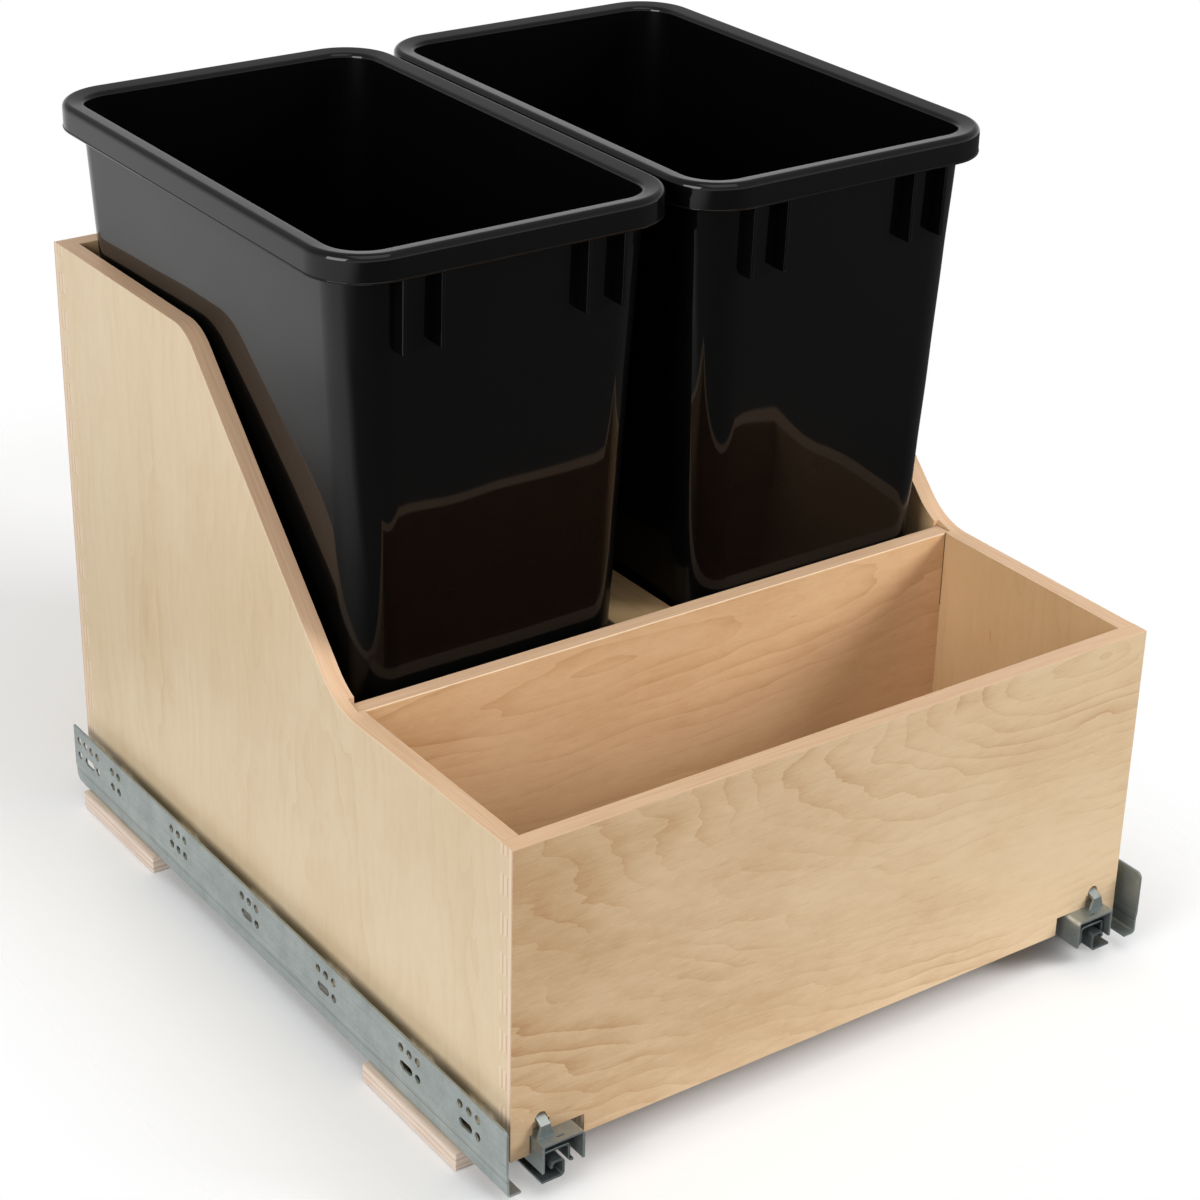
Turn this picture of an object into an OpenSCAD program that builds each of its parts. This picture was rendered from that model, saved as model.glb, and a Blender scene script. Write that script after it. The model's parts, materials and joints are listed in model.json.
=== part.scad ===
// Pull-out bin frame: a dovetailed plywood box on concealed slides, with two lift-out bins.
// The box is pulled out toward -Y. Left is -X, as seen by a person standing in front of it.

/* [Box] */
// Outside width of the box
box_w = 466; // [440:1:520]
// Outside depth of the box, front to back
box_d = 533; // [533:1:600]
// Thickness of the wall boards
board_t = 12; // [10:0.5:15]
// Height of the front wall and of the high part of the sides
front_h = 382; // [350:1:410]
// Height of the back wall, of the divider and of the low part of the sides
back_h = 205; // [180:1:230]
// Length of the high part of the sides, from the front
high_len = 178; // [140:1:200]
// Length of the low part of the sides, from the back
low_len = 186; // [160:1:200]
// Radius of the outward curve above the slope
crest_r = 33; // [20:1:45]
// Radius of the inward curve below the slope
foot_r = 50; // [30:1:60]
// Thickness of the bottom panel
bottom_t = 9; // [6:0.5:12]
// Height of the bottom panel's underside above the lower edge of the box
bottom_recess = 13; // [12.5:0.5:16]
// Depth of the grooves that hold the bottom panel
groove_depth = 6; // [4:0.5:7]

/* [Dovetails] */
// Spacing of the pins
pin_pitch = 25.4; // [20:0.1:32]
// Height of a pin at its wide end
pin_root = 14.4; // [12:0.1:16]
// Height of a pin at its narrow end
pin_tip = 11.6; // [8:0.1:12]
// Thickness of the wood left outside the dovetails
lap_t = 3.5; // [2:0.5:5]

/* [Divider and spacer rail] */
// Distance from the back of the box to the divider
divider_from_back = 172.5; // [140:0.5:180]
// Depth of the slots that hold the divider and the spacer rail
slot_depth = 4; // [2:0.5:6]
// Gap at each end of the divider
slot_end_gap = 0.6; // [0.3:0.1:0.9]
// Thickness of the spacer rail
spacer_t = 12; // [9:0.5:18]
// Drop from the top of the divider to the top of the spacer rail
spacer_drop = 13; // [5:0.5:40]
// Gap between the spacer rail and each bin
spacer_gap = 1.3; // [0.5:0.1:3]

/* [Bins] */
// Height of a bin
bin_h = 457.5; // [420:0.5:480]
// Height of the lip
lip_h = 17; // [10:0.5:24]
// Reach of the lip over the bin's wall
lip_over = 11.5; // [10.5:0.5:14]
// Thickness of the lip's top
lip_t = 3; // [2:0.5:4]
// Bevel round the lip's top
lip_bevel = 2.5; // [1:0.5:2.5]
// Thickness of the lip's skirt
skirt_t = 2.5; // [1.5:0.5:4]
// How far each wall leans in from the lip to the floor
draft_in = 17; // [8:0.5:20]
// Thickness of the bin's floor
floor_t = 3; // [2:0.5:5]
// Thickness of the bin's wall at the floor
wall_foot = 2.6; // [2:0.1:4]
// Thickness of the bin's wall at the lip
wall_top = 4; // [2.5:0.1:5]
// Corner radius of the lip
lip_r = 37.5; // [34:0.5:50]
// Corner radius of the wall at the lip
body_r = 30; // [26:1:34]
// Corner radius of the wall at the floor
foot_corner_r = 24; // [18:1:28]
// Rounding between the wall and the floor
floor_round = 6; // [3:0.5:10]
// Gap between the two lips
lip_gap = 2; // [1:0.5:8]
// Gap from a bin to the top of the sides
bin_side_gap = 0.8; // [0.6:0.05:4]
// Gap from a bin to the top of the divider
bin_back_gap = 3.35; // [3.2:0.05:8]
// Gap from a bin to the top of the front wall
bin_front_gap = 5.2; // [5:0.05:9]
// Offset of the bins, one toward the front and one toward the back
bin_stagger = 2.55; // [0:0.05:2.6]
// Thickness of a rib below the lip
rib_w = 2.6; // [2:0.1:4]
// Length of a rib below the lip
rib_len = 45.5; // [30:0.5:60]
// Depth of a rib
rib_depth = 9.5; // [6:0.5:9.5]
// Distance from the bin's middle to the centre of a pair of ribs
rib_pair_at = 61; // [50:1:66]
// Spacing of the two ribs of a pair
rib_pair_pitch = 24.7; // [18:0.1:28]

/* [Cabinet rails] */
// Thickness of the sheet steel
sheet_t = 1.5; // [1:0.1:1.8]
// Gap between the box and a cabinet rail
rail_gap = 9; // [8:0.5:12]
// Height of a cabinet rail
rail_h = 45; // [42:1:60]
// Reach of a cabinet rail behind the box
rail_back = 12; // [8:0.5:12.4]
// Width of the rail's flange
flange_w = 10; // [9.5:0.5:10.5]
// Step between the rail's upper and lower strip
joggle_in = 0.6; // [0.2:0.1:0.8]
// Height of the lower end of the step above the flange
joggle_low = 10.5; // [8:0.5:12]
// Height of the upper end of the step above the flange
joggle_high = 15; // [13:0.5:18]
// Corner radius at the back of the rail
rail_corner_r = 4; // [3:0.5:8.5]
// Corner cut at the front of the rail
rail_chamfer = 6; // [2:0.5:8]
// Diameter of the rail's screw holes
hole_d = 5.7; // [4:0.1:6.4]
// Spacing of the holes in a group
hole_pitch = 9.2; // [8:0.1:9.6]
// Height of the lower row of holes above the flange
row_low = 24.2; // [20:0.1:26]
// Height of the upper row of holes above the flange
row_high = 35.8; // [33:0.1:38]
// Distance from the back of the box to the first hole
first_hole = 17.5; // [12:0.5:18.5]
// Grid of the hole groups
grid_pitch = 32; // [30:0.5:32]
// Length of a slotted hole
slot_len = 13.7; // [10:0.1:14]
// Distance from the first hole of a group to the middle of its slot
slot_at = 12.6; // [12:0.1:15]
// Length of a tongue that carries the fixed channel
tongue_len = 60; // [40:1:80]
// Overlap of a tongue and the fixed channel
tongue_lap = 5.5; // [5.4:0.1:5.9]

/* [Slides] */
// Depth of the slides below the box
slide_drop = 13; // [12:0.5:16]
// Gap between the side panel and the drawer member
member_gap = 1.5; // [0.8:0.1:3]
// Width of the drawer member
member_w = 29; // [28:0.5:34]
// Height of the drawer member
member_h = 19; // [16:0.5:20]
// Reach of the drawer member behind the box
member_back = 12.5; // [12.5:0.5:20]
// Gap between the drawer member and the front wall
member_front_gap = 3; // [1:0.5:10]
// Gap between the walls of the drawer member and the middle member
middle_gap = 1; // [0.6:0.1:1.6]
// Width of the middle member
middle_w = 19.5; // [18:0.5:20]
// Width of the foot of the middle member
middle_foot_w = 2.5; // [1.5:0.5:3]
// Height of the middle member's inner wall above the slide's underside
middle_lift = 4; // [3:0.5:6]
// Distance from the back of the box to the middle member, behind it
middle_back = 8; // [4:0.5:12]
// Width of the fixed channel
channel_w = 15.5; // [15:0.5:17]
// Gap between the fixed channel and the lower edge of the box
channel_gap = 0.5; // [0.4:0.1:1.5]
// Width of the fixed channel's running lip
channel_lip_w = 9.5; // [9:0.1:9.6]
// Height of the fixed channel's turned-down edge
channel_edge_h = 4.5; // [2.5:0.5:5]
// Running height between the fixed channel and the middle member
lower_run = 3.5; // [3:0.1:4.5]
// Running gap at each side of a roller
run_gap = 0.3; // [0.2:0.05:0.4]
// Travel of the box
travel = 500; // [400:10:520]
// Length of a roller cage
cage_len = 200; // [160:1:210]
// Thickness of a lower roller cage
lower_cage_t = 1.2; // [0.8:0.1:1.6]
// Thickness of an upper roller cage
upper_cage_t = 2; // [1:0.1:3]
// Length of a lower roller
lower_roller_len = 7; // [5:0.5:7.5]
// Length of an upper roller
upper_roller_len = 9; // [6:0.5:10]
// Number of rollers in a cage
roller_count = 8; // [4:1:10]
// Width of the notches in the back wall
notch_w = 37.3; // [35.5:0.1:40]
// Gap between a notch and the drawer member
notch_gap = 0.5; // [0.3:0.1:0.8]

/* [Hooks and clips] */
// Distance from the drawer member's outer face to the hook
hook_in = 7; // [6.5:0.5:9]
// Width of the hook's tab at its base
hook_base_w = 11.5; // [8:0.5:12.5]
// Width of the hook's tab at its top
hook_top_w = 6.4; // [5:0.1:6.8]
// Height of the bend in the hook's tab above the drawer member
hook_bend = 7; // [6:0.5:7.5]
// Height of the hook's tip above the drawer member
hook_h = 11.6; // [10.5:0.1:12]
// Gap between the hook's tab and the back wall
hook_gap = 3.5; // [1.5:0.5:6]
// Reach of the hook's tip into the back wall
hook_reach = 3; // [2:0.5:4]
// Diameter of the hook's hole in the back wall
hook_hole_d = 8; // [7.8:0.1:9]
// Height of the hook's hole above the drawer member
hook_hole_rise = 9.9; // [9.6:0.1:10.4]
// Width of the relief below the hook's hole
relief_w = 11.2; // [8:0.1:12.5]
// Height of the relief below the hook's hole
relief_h = 8; // [6:0.5:9]
// Wood left between the hook's hole and the bottom panel
hook_web = 1; // [0.5:0.5:1.5]
// Width of a front clip
clip_w = 32; // [30:0.5:40]
// Length of a front clip
clip_len = 54; // [52:0.5:70]
// Thickness of a front clip
clip_t = 6; // [4:0.5:6]
// Gap between a front clip and the pieces beside it
clip_gap = 0.7; // [0.5:0.1:0.9]
// Thickness of a release lever
lever_t = 5; // [3:0.5:6]
// Width of a release lever
lever_w = 10; // [9:0.5:11]
// Gap above and below a release lever
lever_gap = 0.4; // [0.3:0.05:0.6]
// Distance from the clip's inner edge to the lever's pivot
pivot_in = 17; // [16:0.5:18]
// Distance from the clip's front to the lever's pivot
pivot_back = 40; // [38:0.5:42]
// Diameter of the pivot
pivot_d = 5; // [4:0.1:5.5]
// Diameter of the pivot's head
pivot_head_d = 9; // [7:0.5:9.5]
// Thickness of the pivot's head
pivot_head_t = 1.4; // [1:0.1:2]
// Distance from the pivot to the lever's nose
nose_at = 20; // [18:0.5:24]
// Width of the lever's nose
nose_w = 8; // [5:0.5:9]
// Reach of the nose into the drawer member
nose_reach = 1; // [0.7:0.1:1.4]
// Length of the lever's finger tab
finger_len = 10; // [8:0.5:12]
// Drop of the lever's finger tab
finger_drop = 7.5; // [5:0.5:9]

/* [Fasteners] */
// Diameter of a rivet's shank
rivet_d = 3.2; // [2.5:0.1:3.6]
// Diameter of a rivet's head
rivet_head_d = 6; // [5:0.1:6.4]
// Thickness of a rivet's head
rivet_head_t = 1.2; // [0.8:0.1:1.4]
// Spacing of the rivets on a tongue
rivet_pitch = 40; // [25:1:44]
// Diameter of a screw's shank
screw_d = 3.5; // [3:0.1:4]
// Diameter of a screw's head
screw_head_d = 6.5; // [6:0.1:6.6]
// Thickness of a screw's head
screw_head_t = 2; // [1.5:0.1:2.4]
// Wood left below the tip of a screw
screw_tip_gap = 2; // [1:0.5:3]
// Gap round a shank
shank_gap = 0.05; // [0.02:0.01:0.1]

/* [Spacer blocks] */
// Thickness of a block
block_t = 12; // [10:0.5:25]
// Length of a block
block_len = 104; // [90:1:120]
// Width of a block
block_w = 60; // [50:1:80]
// Reach of a block past the cabinet rail
block_proud = 2.5; // [0:0.5:6]
// Distance from the back of the box to the rear block
block_from_back = 37; // [10:1:60]
// Distance from the front of the box to the front block
block_from_front = 15; // [5:1:40]
// Spacing of the screws in a block
block_screw_pitch = 60; // [40:1:80]

/* [Hidden] */
$fn = 64;

// Places are given as u, inward from the right side's outer face, d, forward from the back's outer face,
// and z, up from the lower edge of the box. These turn them into X, Y and Z.
z_box = block_t + slide_drop;
function px(u) = box_w / 2 - u;
function py(d) = (box_d - member_back) / 2 - d;
function pz(z) = z_box + z;
// Room past a face that is cut through
cut = 1;

// Box
inner_front = box_d - board_t;
floor_z = bottom_recess + bottom_t;
slope_top = box_d - high_len;
slope_a = atan2(front_h - back_h, slope_top - low_len);
crest_t = crest_r * tan(slope_a / 2);
foot_t = foot_r * tan(slope_a / 2);
arc_steps = 24;
least_tail = 3;
divider_front = divider_from_back + board_t;
slot_u = board_t - slot_depth;
spacer_top = back_h - spacer_drop;

// Bins
wall_h = bin_h - lip_h;
function wall_inset(z) = lip_over + draft_in * (1 - (z - floor_z) / wall_h);
lip_u = board_t + bin_side_gap - wall_inset(front_h);
bin_w = (box_w - lip_gap) / 2 - lip_u;
bin_back = divider_front + bin_back_gap - wall_inset(back_h);
bin_l = inner_front - bin_front_gap + wall_inset(front_h) - bin_back;
spacer_w = lip_gap + 2 * wall_inset(spacer_top) - 2 * spacer_gap;

// Slides
slide_floor = -slide_drop;
rail_u = -rail_gap - sheet_t;
rail_low_u = rail_u + joggle_in;
flange_u = rail_u + flange_w;
group_steps = [0, 2, 5, 8, 11, 14, 15];
upper_counts = [3, 3, 3, 3, 3, 2, 4];
lower_places = [[0], [0], [0], [0], [0, 1, 2], [0, 1], [0, 3]];
slotted = [true, true, true, true, false, false, true];
member_u = board_t + member_gap;
member_in_u = member_u + member_w;
member_low = bottom_recess - member_h;
member_front = inner_front - member_front_gap;
channel_u = member_u;
channel_in_u = channel_u + channel_w;
channel_top = -channel_gap;
middle_u = member_u + sheet_t + middle_gap;
middle_in_u = middle_u + middle_w;
middle_under = channel_top + lower_run;
middle_top = middle_under + sheet_t;
tongue_top = slide_floor + 2 * sheet_t;
rivet_clear = 1.8;
middle_out_low = tongue_top + rivet_head_t + rivet_clear;
middle_in_low = slide_floor + middle_lift;
lip_start_u = channel_in_u - channel_lip_w;
upper_run = bottom_recess - sheet_t - middle_top;
lower_roller_r = lower_run / 2 - run_gap;
upper_roller_r = upper_run / 2 - run_gap;
cage_margin = 5;
lower_cage_d = -middle_back + travel / 4 + cage_margin;
upper_cage_d = lower_cage_d + cage_margin;
upper_cage_side = 2.5;
roller_pitch = cage_len / roller_count;
window_gap = 0.15;

// Hooks and clips
hook_u = member_u + hook_in;
hook_depth = board_t - groove_depth - hook_web;
notch_u = member_u - notch_gap;
plate_slot_u = member_u + member_w / 2;
plate_slot_w = 5;
plate_slot_l = 1.5;
plate_slot_d = -9.5;
clip_u = member_in_u + clip_gap;
clip_front = inner_front - clip_gap;
clip_low = bottom_recess - clip_t;
lever_top = clip_low - lever_gap;
lever_low = lever_top - lever_t;
pivot_u = clip_u + pivot_in;
pivot_at = clip_front - pivot_back;
pivot_gap = 0.1;
lever_end_gap = 2;
lever_tail = 6;
lever_front = clip_front - lever_end_gap;
nose_d = pivot_at + nose_at;
nose_tip_u = member_in_u - nose_reach;
window_play = 0.5;
window_back = 2;
window_front = 5;
clip_screw_edge = 4.5;
clip_screw_back = 5;
clip_screw_d = pivot_at - clip_screw_back;

// Blocks and fasteners
block_u = rail_u - block_proud;
block_starts = [block_from_back, box_d - block_from_front - block_len];
block_middles = [for (s = block_starts) s + block_len / 2];
tongue_middles = [block_middles[0], (block_middles[0] + block_middles[1]) / 2, block_middles[1]];
rivet_u = channel_u + tongue_lap / 2;
block_screw_u = (rail_low_u + sheet_t + flange_u) / 2;
recess_w = 0.9;
recess_len = 4;

// Colours
maple = [0.86, 0.77, 0.62];
tan_wood = [0.79, 0.66, 0.49];
pale_wood = [0.84, 0.72, 0.60];
zinc = [0.60, 0.63, 0.62];
dark_zinc = [0.45, 0.47, 0.47];
black_plastic = [0.05, 0.05, 0.05];
white_plastic = [0.88, 0.88, 0.86];
grey_plastic = [0.35, 0.36, 0.37];

// A block from u, d and z limits
module span(u0, u1, d0, d1, z0, z1) {
    translate([px(u1), py(d1), pz(z0)]) cube([u1 - u0, d1 - d0, z1 - z0]);
}

// A section of u, z points, drawn out along d
module run(points, d0, d1) {
    translate([0, py(d0), 0])
        rotate([90, 0, 0])
            linear_extrude(d1 - d0) polygon([for (p = points) [px(p[0]), pz(p[1])]]);
}

// A flat shape of Y, Z, drawn out along u
module across(u0, u1) {
    translate([px(u1), 0, 0]) rotate([90, 0, 90]) linear_extrude(u1 - u0) children();
}

// An upright cylinder
module post(u, d, z0, z1, dia) {
    translate([px(u), py(d), pz(z0)]) cylinder(h = z1 - z0, d = dia);
}

// A cylinder that lies along u
module bar(u0, u1, d, z, dia) {
    translate([px(u1), py(d), pz(z)]) rotate([0, 90, 0]) cylinder(h = u1 - u0, d = dia);
}

// The same shape on the other side of the part
module left() {
    mirror([1, 0, 0]) children();
}

module both() {
    children();
    left() children();
}

// Outline of a side, between the laps of the end walls, as d, z
function at(d, z) = [py(d), pz(z)];
function arc(d, z, r, from, to) = [
    for (i = [0 : arc_steps])
        let (a = from + (to - from) * i / arc_steps)
            at(d + r * cos(a), z + r * sin(a))
];
module side_outline() {
    polygon(concat(
        [at(lap_t, 0), at(lap_t, back_h)],
        arc(low_len - foot_t, back_h + foot_r, foot_r, 270, 270 + slope_a),
        arc(slope_top + crest_t, front_h - crest_r, crest_r, 90 + slope_a, 90),
        [at(box_d - lap_t, front_h), at(box_d - lap_t, 0)]
    ));
}

// Dovetail pins of an end wall of height h. The wall's outer face is at d = face, and step is 1 or -1 inward.
module pins(h, face, step) {
    across(-cut, board_t)
        for (k = [0 : floor(h / pin_pitch)]) {
            z = h - k * pin_pitch;
            // A pin with too little wood below it runs out at the lower edge
            out = z - pin_root / 2 < least_tail ? z + cut : 0;
            polygon([
                at(face + step * lap_t, z - max(pin_tip / 2, out)),
                at(face + step * lap_t, z + pin_tip / 2),
                at(face + step * board_t, z + pin_root / 2),
                at(face + step * board_t, z - max(pin_root / 2, out))
            ]);
        }
}

// Space taken from the walls by the bottom panel
module bottom_space() {
    edge = board_t - groove_depth;
    span(edge, box_w - edge, edge, box_d - edge, bottom_recess, floor_z);
}

// Space taken by the divider's end
module divider_slot() {
    span(slot_u, board_t + cut, divider_from_back, divider_front, floor_z, front_h);
}

module side_panel() {
    difference() {
        across(0, board_t) side_outline();
        pins(back_h, 0, 1);
        pins(front_h, box_d, -1);
        bottom_space();
        divider_slot();
    }
}

// An end wall of height h with the sockets for the sides' tails
module end_wall(h, face, step) {
    d0 = min(face, face + step * board_t);
    tails = [face + step * lap_t, face + step * (board_t + cut)];
    difference() {
        span(0, box_w, d0, d0 + board_t, 0, h);
        both()
            difference() {
                span(-cut, board_t, min(tails), max(tails), -cut, h + cut);
                pins(h, face, step);
            }
        bottom_space();
    }
}

module spacer_space() {
    middle = box_w / 2;
    span(middle - spacer_w / 2, middle + spacer_w / 2, divider_front - slot_depth, inner_front + slot_depth,
        spacer_top - spacer_t, spacer_top);
}

// Hook hole, its relief and the notch for the slide
module slide_cuts() {
    span(notch_u, notch_u + notch_w, -cut, board_t + cut, -cut, bottom_recess);
    span(hook_u - relief_w / 2, hook_u + relief_w / 2, -cut, hook_depth,
        bottom_recess - cut, bottom_recess + relief_h);
    translate([px(hook_u), py(hook_depth), pz(bottom_recess + hook_hole_rise)])
        rotate([-90, 0, 0])
            cylinder(h = hook_depth + cut, d = hook_hole_d);
}

module side_panel_right() {
    color(maple) side_panel();
}

module side_panel_left() {
    color(maple) left() side_panel();
}

module front_panel() {
    color(maple)
        difference() {
            end_wall(front_h, box_d, -1);
            spacer_space();
        }
}

module back_panel() {
    color(tan_wood)
        difference() {
            end_wall(back_h, 0, 1);
            both() slide_cuts();
        }
}

module divider() {
    end_u = slot_u + slot_end_gap;
    color(tan_wood)
        difference() {
            span(end_u, box_w - end_u, divider_from_back, divider_front, floor_z, back_h);
            spacer_space();
        }
}

module bottom_panel() {
    color(pale_wood)
        difference() {
            bottom_space();
            both() clip_screw_places() post(0, 0, bottom_recess - cut, clip_screw_tip, screw_d + 2 * shank_gap);
        }
}

module bin_spacer_rail() {
    color(pale_wood) spacer_space();
}

// Bins
module rounded(w, l, r) {
    square([w - 2 * r, l], center = true);
    square([w, l - 2 * r], center = true);
    for (x = [-1, 1], y = [-1, 1])
        translate([x * (w / 2 - r), y * (l / 2 - r)]) circle(r = r);
}

// A thin rounded plate, inset from the lip's outline, for the drafted walls
plate = 0.1;
wall_sides = 48;
module wall_plate(z, inset, r) {
    translate([0, 0, z]) linear_extrude(plate) rounded(bin_w - 2 * inset, bin_l - 2 * inset, r, $fn = wall_sides);
}

function bin_inset(z) = wall_inset(floor_z + z);

module bin_body() {
    top = bin_h - lip_t / 2;
    hull() {
        wall_plate(0, bin_inset(0) + floor_round, foot_corner_r - floor_round / 2);
        wall_plate(floor_round, bin_inset(floor_round), foot_corner_r);
        wall_plate(top, bin_inset(top), body_r);
    }
}

module bin_cavity() {
    low = floor_t + floor_round;
    hull() {
        wall_plate(floor_t, bin_inset(floor_t) + wall_foot + floor_round, foot_corner_r - floor_round);
        wall_plate(low, bin_inset(low) + wall_foot, foot_corner_r - wall_foot);
        wall_plate(bin_h, bin_inset(bin_h) + wall_top, body_r - wall_top);
    }
}

module bin_lip() {
    difference() {
        hull() {
            wall_plate(wall_h, 0, lip_r);
            wall_plate(bin_h - lip_bevel, 0, lip_r);
            wall_plate(bin_h - plate, lip_bevel, lip_r - lip_bevel);
        }
        translate([0, 0, wall_h - cut])
            linear_extrude(lip_h - lip_t + cut)
                rounded(bin_w - 2 * skirt_t, bin_l - 2 * skirt_t, lip_r - skirt_t, $fn = wall_sides);
    }
}

// Ribs that brace the lip at both short ends
module bin_ribs() {
    rib_low = wall_h - rib_len;
    face = bin_l / 2 - bin_inset(wall_h);
    low = bin_l / 2 - bin_inset(rib_low);
    sink = wall_top / 2;
    for (end = [-1, 1], side = [-1, 1], n = [-1, 1])
        translate([side * rib_pair_at + n * rib_pair_pitch / 2 - rib_w / 2, 0, 0])
            rotate([90, 0, 90])
                linear_extrude(rib_w)
                    polygon([
                        [end * (low - sink), rib_low],
                        [end * (low + rib_depth), rib_low],
                        [end * (face + rib_depth), wall_h],
                        [end * (face + rib_depth), bin_h - lip_t / 2],
                        [end * (face - sink), bin_h - lip_t / 2]
                    ]);
}

module bin(stagger) {
    translate([lip_gap / 2 + bin_w / 2, py(bin_back + bin_l / 2 + stagger), pz(floor_z)])
        difference() {
            union() {
                bin_body();
                bin_lip();
                bin_ribs();
            }
            bin_cavity();
        }
}

module bin_right() {
    color(black_plastic) bin(bin_stagger);
}

module bin_left() {
    color(black_plastic) left() bin(-bin_stagger);
}

// Cabinet rails
module rail_holes() {
    for (g = [0 : len(group_steps) - 1]) {
        d = first_hole + group_steps[g] * grid_pitch;
        high = slide_floor + row_high;
        low = slide_floor + row_low;
        for (k = [0 : upper_counts[g] - 1])
            bar(rail_u - cut, rail_u + sheet_t + cut, d + k * hole_pitch, high, hole_d);
        for (k = lower_places[g])
            bar(rail_u - cut, rail_u + sheet_t + cut, d + k * hole_pitch, low, hole_d);
        if (slotted[g])
            rail_slot(d + slot_at, low);
    }
}

module rail_slot(d, z) {
    half = (slot_len - hole_d) / 2;
    for (s = [-half, half])
        bar(rail_u - cut, rail_u + sheet_t + cut, d + s, z, hole_d);
    span(rail_u - cut, rail_u + sheet_t + cut, d - half, d + half, z - hole_d / 2, z + hole_d / 2);
}

// Outline of the rail's upright plate, with its rounded back corner and cut front corner
module rail_outline() {
    top = slide_floor + rail_h;
    polygon([
        at(-rail_back, slide_floor),
        at(-rail_back, top - rail_corner_r),
        at(rail_corner_r - rail_back, top),
        at(box_d, top),
        at(box_d, slide_floor + rail_chamfer),
        at(box_d - rail_chamfer, slide_floor)
    ]);
    translate(at(rail_corner_r - rail_back, top - rail_corner_r)) circle(r = rail_corner_r);
}

module tongue(d) {
    step_u = channel_u - channel_gap;
    run([
        [flange_u - cut, slide_floor],
        [step_u, slide_floor],
        [step_u, slide_floor + sheet_t],
        [channel_u + tongue_lap, slide_floor + sheet_t],
        [channel_u + tongue_lap, tongue_top],
        [step_u - sheet_t, tongue_top],
        [step_u - sheet_t, slide_floor + sheet_t],
        [flange_u - cut, slide_floor + sheet_t]
    ], d - tongue_len / 2, d + tongue_len / 2);
}

module cabinet_rail() {
    top = slide_floor + rail_h;
    difference() {
        union() {
            intersection() {
                run([
                    [rail_low_u, slide_floor],
                    [rail_low_u, slide_floor + joggle_low],
                    [rail_u, slide_floor + joggle_high],
                    [rail_u, top],
                    [rail_u + sheet_t, top],
                    [rail_u + sheet_t, slide_floor + joggle_high],
                    [rail_low_u + sheet_t, slide_floor + joggle_low],
                    [rail_low_u + sheet_t, slide_floor]
                ], -rail_back, box_d);
                across(rail_u - cut, flange_u) rail_outline();
            }
            span(rail_low_u + sheet_t / 2, flange_u, -rail_back, box_d - rail_chamfer, slide_floor,
                slide_floor + sheet_t);
            for (d = tongue_middles)
                tongue(d);
        }
        rail_holes();
        rivet_places() post(0, 0, slide_floor - cut, tongue_top + cut, rivet_d + 2 * shank_gap);
        block_screw_places() post(0, 0, slide_floor - cut, slide_floor + sheet_t + cut, screw_d + 2 * shank_gap);
    }
}

module cabinet_rail_right() {
    color(zinc) cabinet_rail();
}

module cabinet_rail_left() {
    color(zinc) left() cabinet_rail();
}

// Fixed channel, whose turned lip carries the lower rollers
module fixed_channel() {
    difference() {
        run([
            [channel_u, slide_floor],
            [channel_in_u, slide_floor],
            [channel_in_u, channel_top],
            [lip_start_u, channel_top],
            [lip_start_u, channel_top - channel_edge_h],
            [lip_start_u + sheet_t, channel_top - channel_edge_h],
            [lip_start_u + sheet_t, channel_top - sheet_t],
            [channel_in_u - sheet_t, channel_top - sheet_t],
            [channel_in_u - sheet_t, slide_floor + sheet_t],
            [channel_u, slide_floor + sheet_t]
        ], -rail_back, box_d);
        rivet_places() post(0, 0, slide_floor - cut, slide_floor + sheet_t + cut, rivet_d + 2 * shank_gap);
    }
}

module fixed_channel_right() {
    color(dark_zinc) fixed_channel();
}

module fixed_channel_left() {
    color(dark_zinc) left() fixed_channel();
}

// Repeats a shape, drawn at u = 0 and d = 0, at each rivet of one rail
module rivet_places() {
    for (d = tongue_middles, s = [-1, 1])
        translate([-rivet_u, -d - s * rivet_pitch / 2, 0]) children();
}

module rail_rivets() {
    color(dark_zinc)
        both()
            rivet_places() {
                post(0, 0, slide_floor, tongue_top + rivet_head_t / 2, rivet_d);
                post(0, 0, tongue_top, tongue_top + rivet_head_t, rivet_head_d);
            }
}

module middle_member() {
    run([
        [middle_u, middle_out_low],
        [middle_u, middle_top],
        [middle_in_u, middle_top],
        [middle_in_u, middle_in_low + sheet_t],
        [middle_in_u + middle_foot_w, middle_in_low + sheet_t],
        [middle_in_u + middle_foot_w, middle_in_low],
        [middle_in_u - sheet_t, middle_in_low],
        [middle_in_u - sheet_t, middle_under],
        [middle_u + sheet_t, middle_under],
        [middle_u + sheet_t, middle_out_low]
    ], -middle_back, member_front);
}

module middle_member_right() {
    color(dark_zinc) middle_member();
}

module middle_member_left() {
    color(dark_zinc) left() middle_member();
}

// Bent tab that holds the back of the box down on the drawer member
module hook() {
    base = bottom_recess - sheet_t / 2;
    bend = bottom_recess + hook_bend;
    tip = bottom_recess + hook_h;
    intersection() {
        across(hook_u - hook_base_w / 2, hook_u + hook_base_w / 2)
            polygon([
                at(-hook_gap - sheet_t, base),
                at(-hook_gap - sheet_t, bend + sheet_t / 2),
                at(hook_reach, tip),
                at(hook_reach, tip - sheet_t),
                at(-hook_gap, bend - sheet_t / 2),
                at(-hook_gap, base)
            ]);
        run([
            [hook_u - hook_base_w / 2, base],
            [hook_u - hook_top_w / 2, bend],
            [hook_u - hook_top_w / 2, tip],
            [hook_u + hook_top_w / 2, tip],
            [hook_u + hook_top_w / 2, bend],
            [hook_u + hook_base_w / 2, base]
        ], -member_back, board_t);
    }
}

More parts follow.
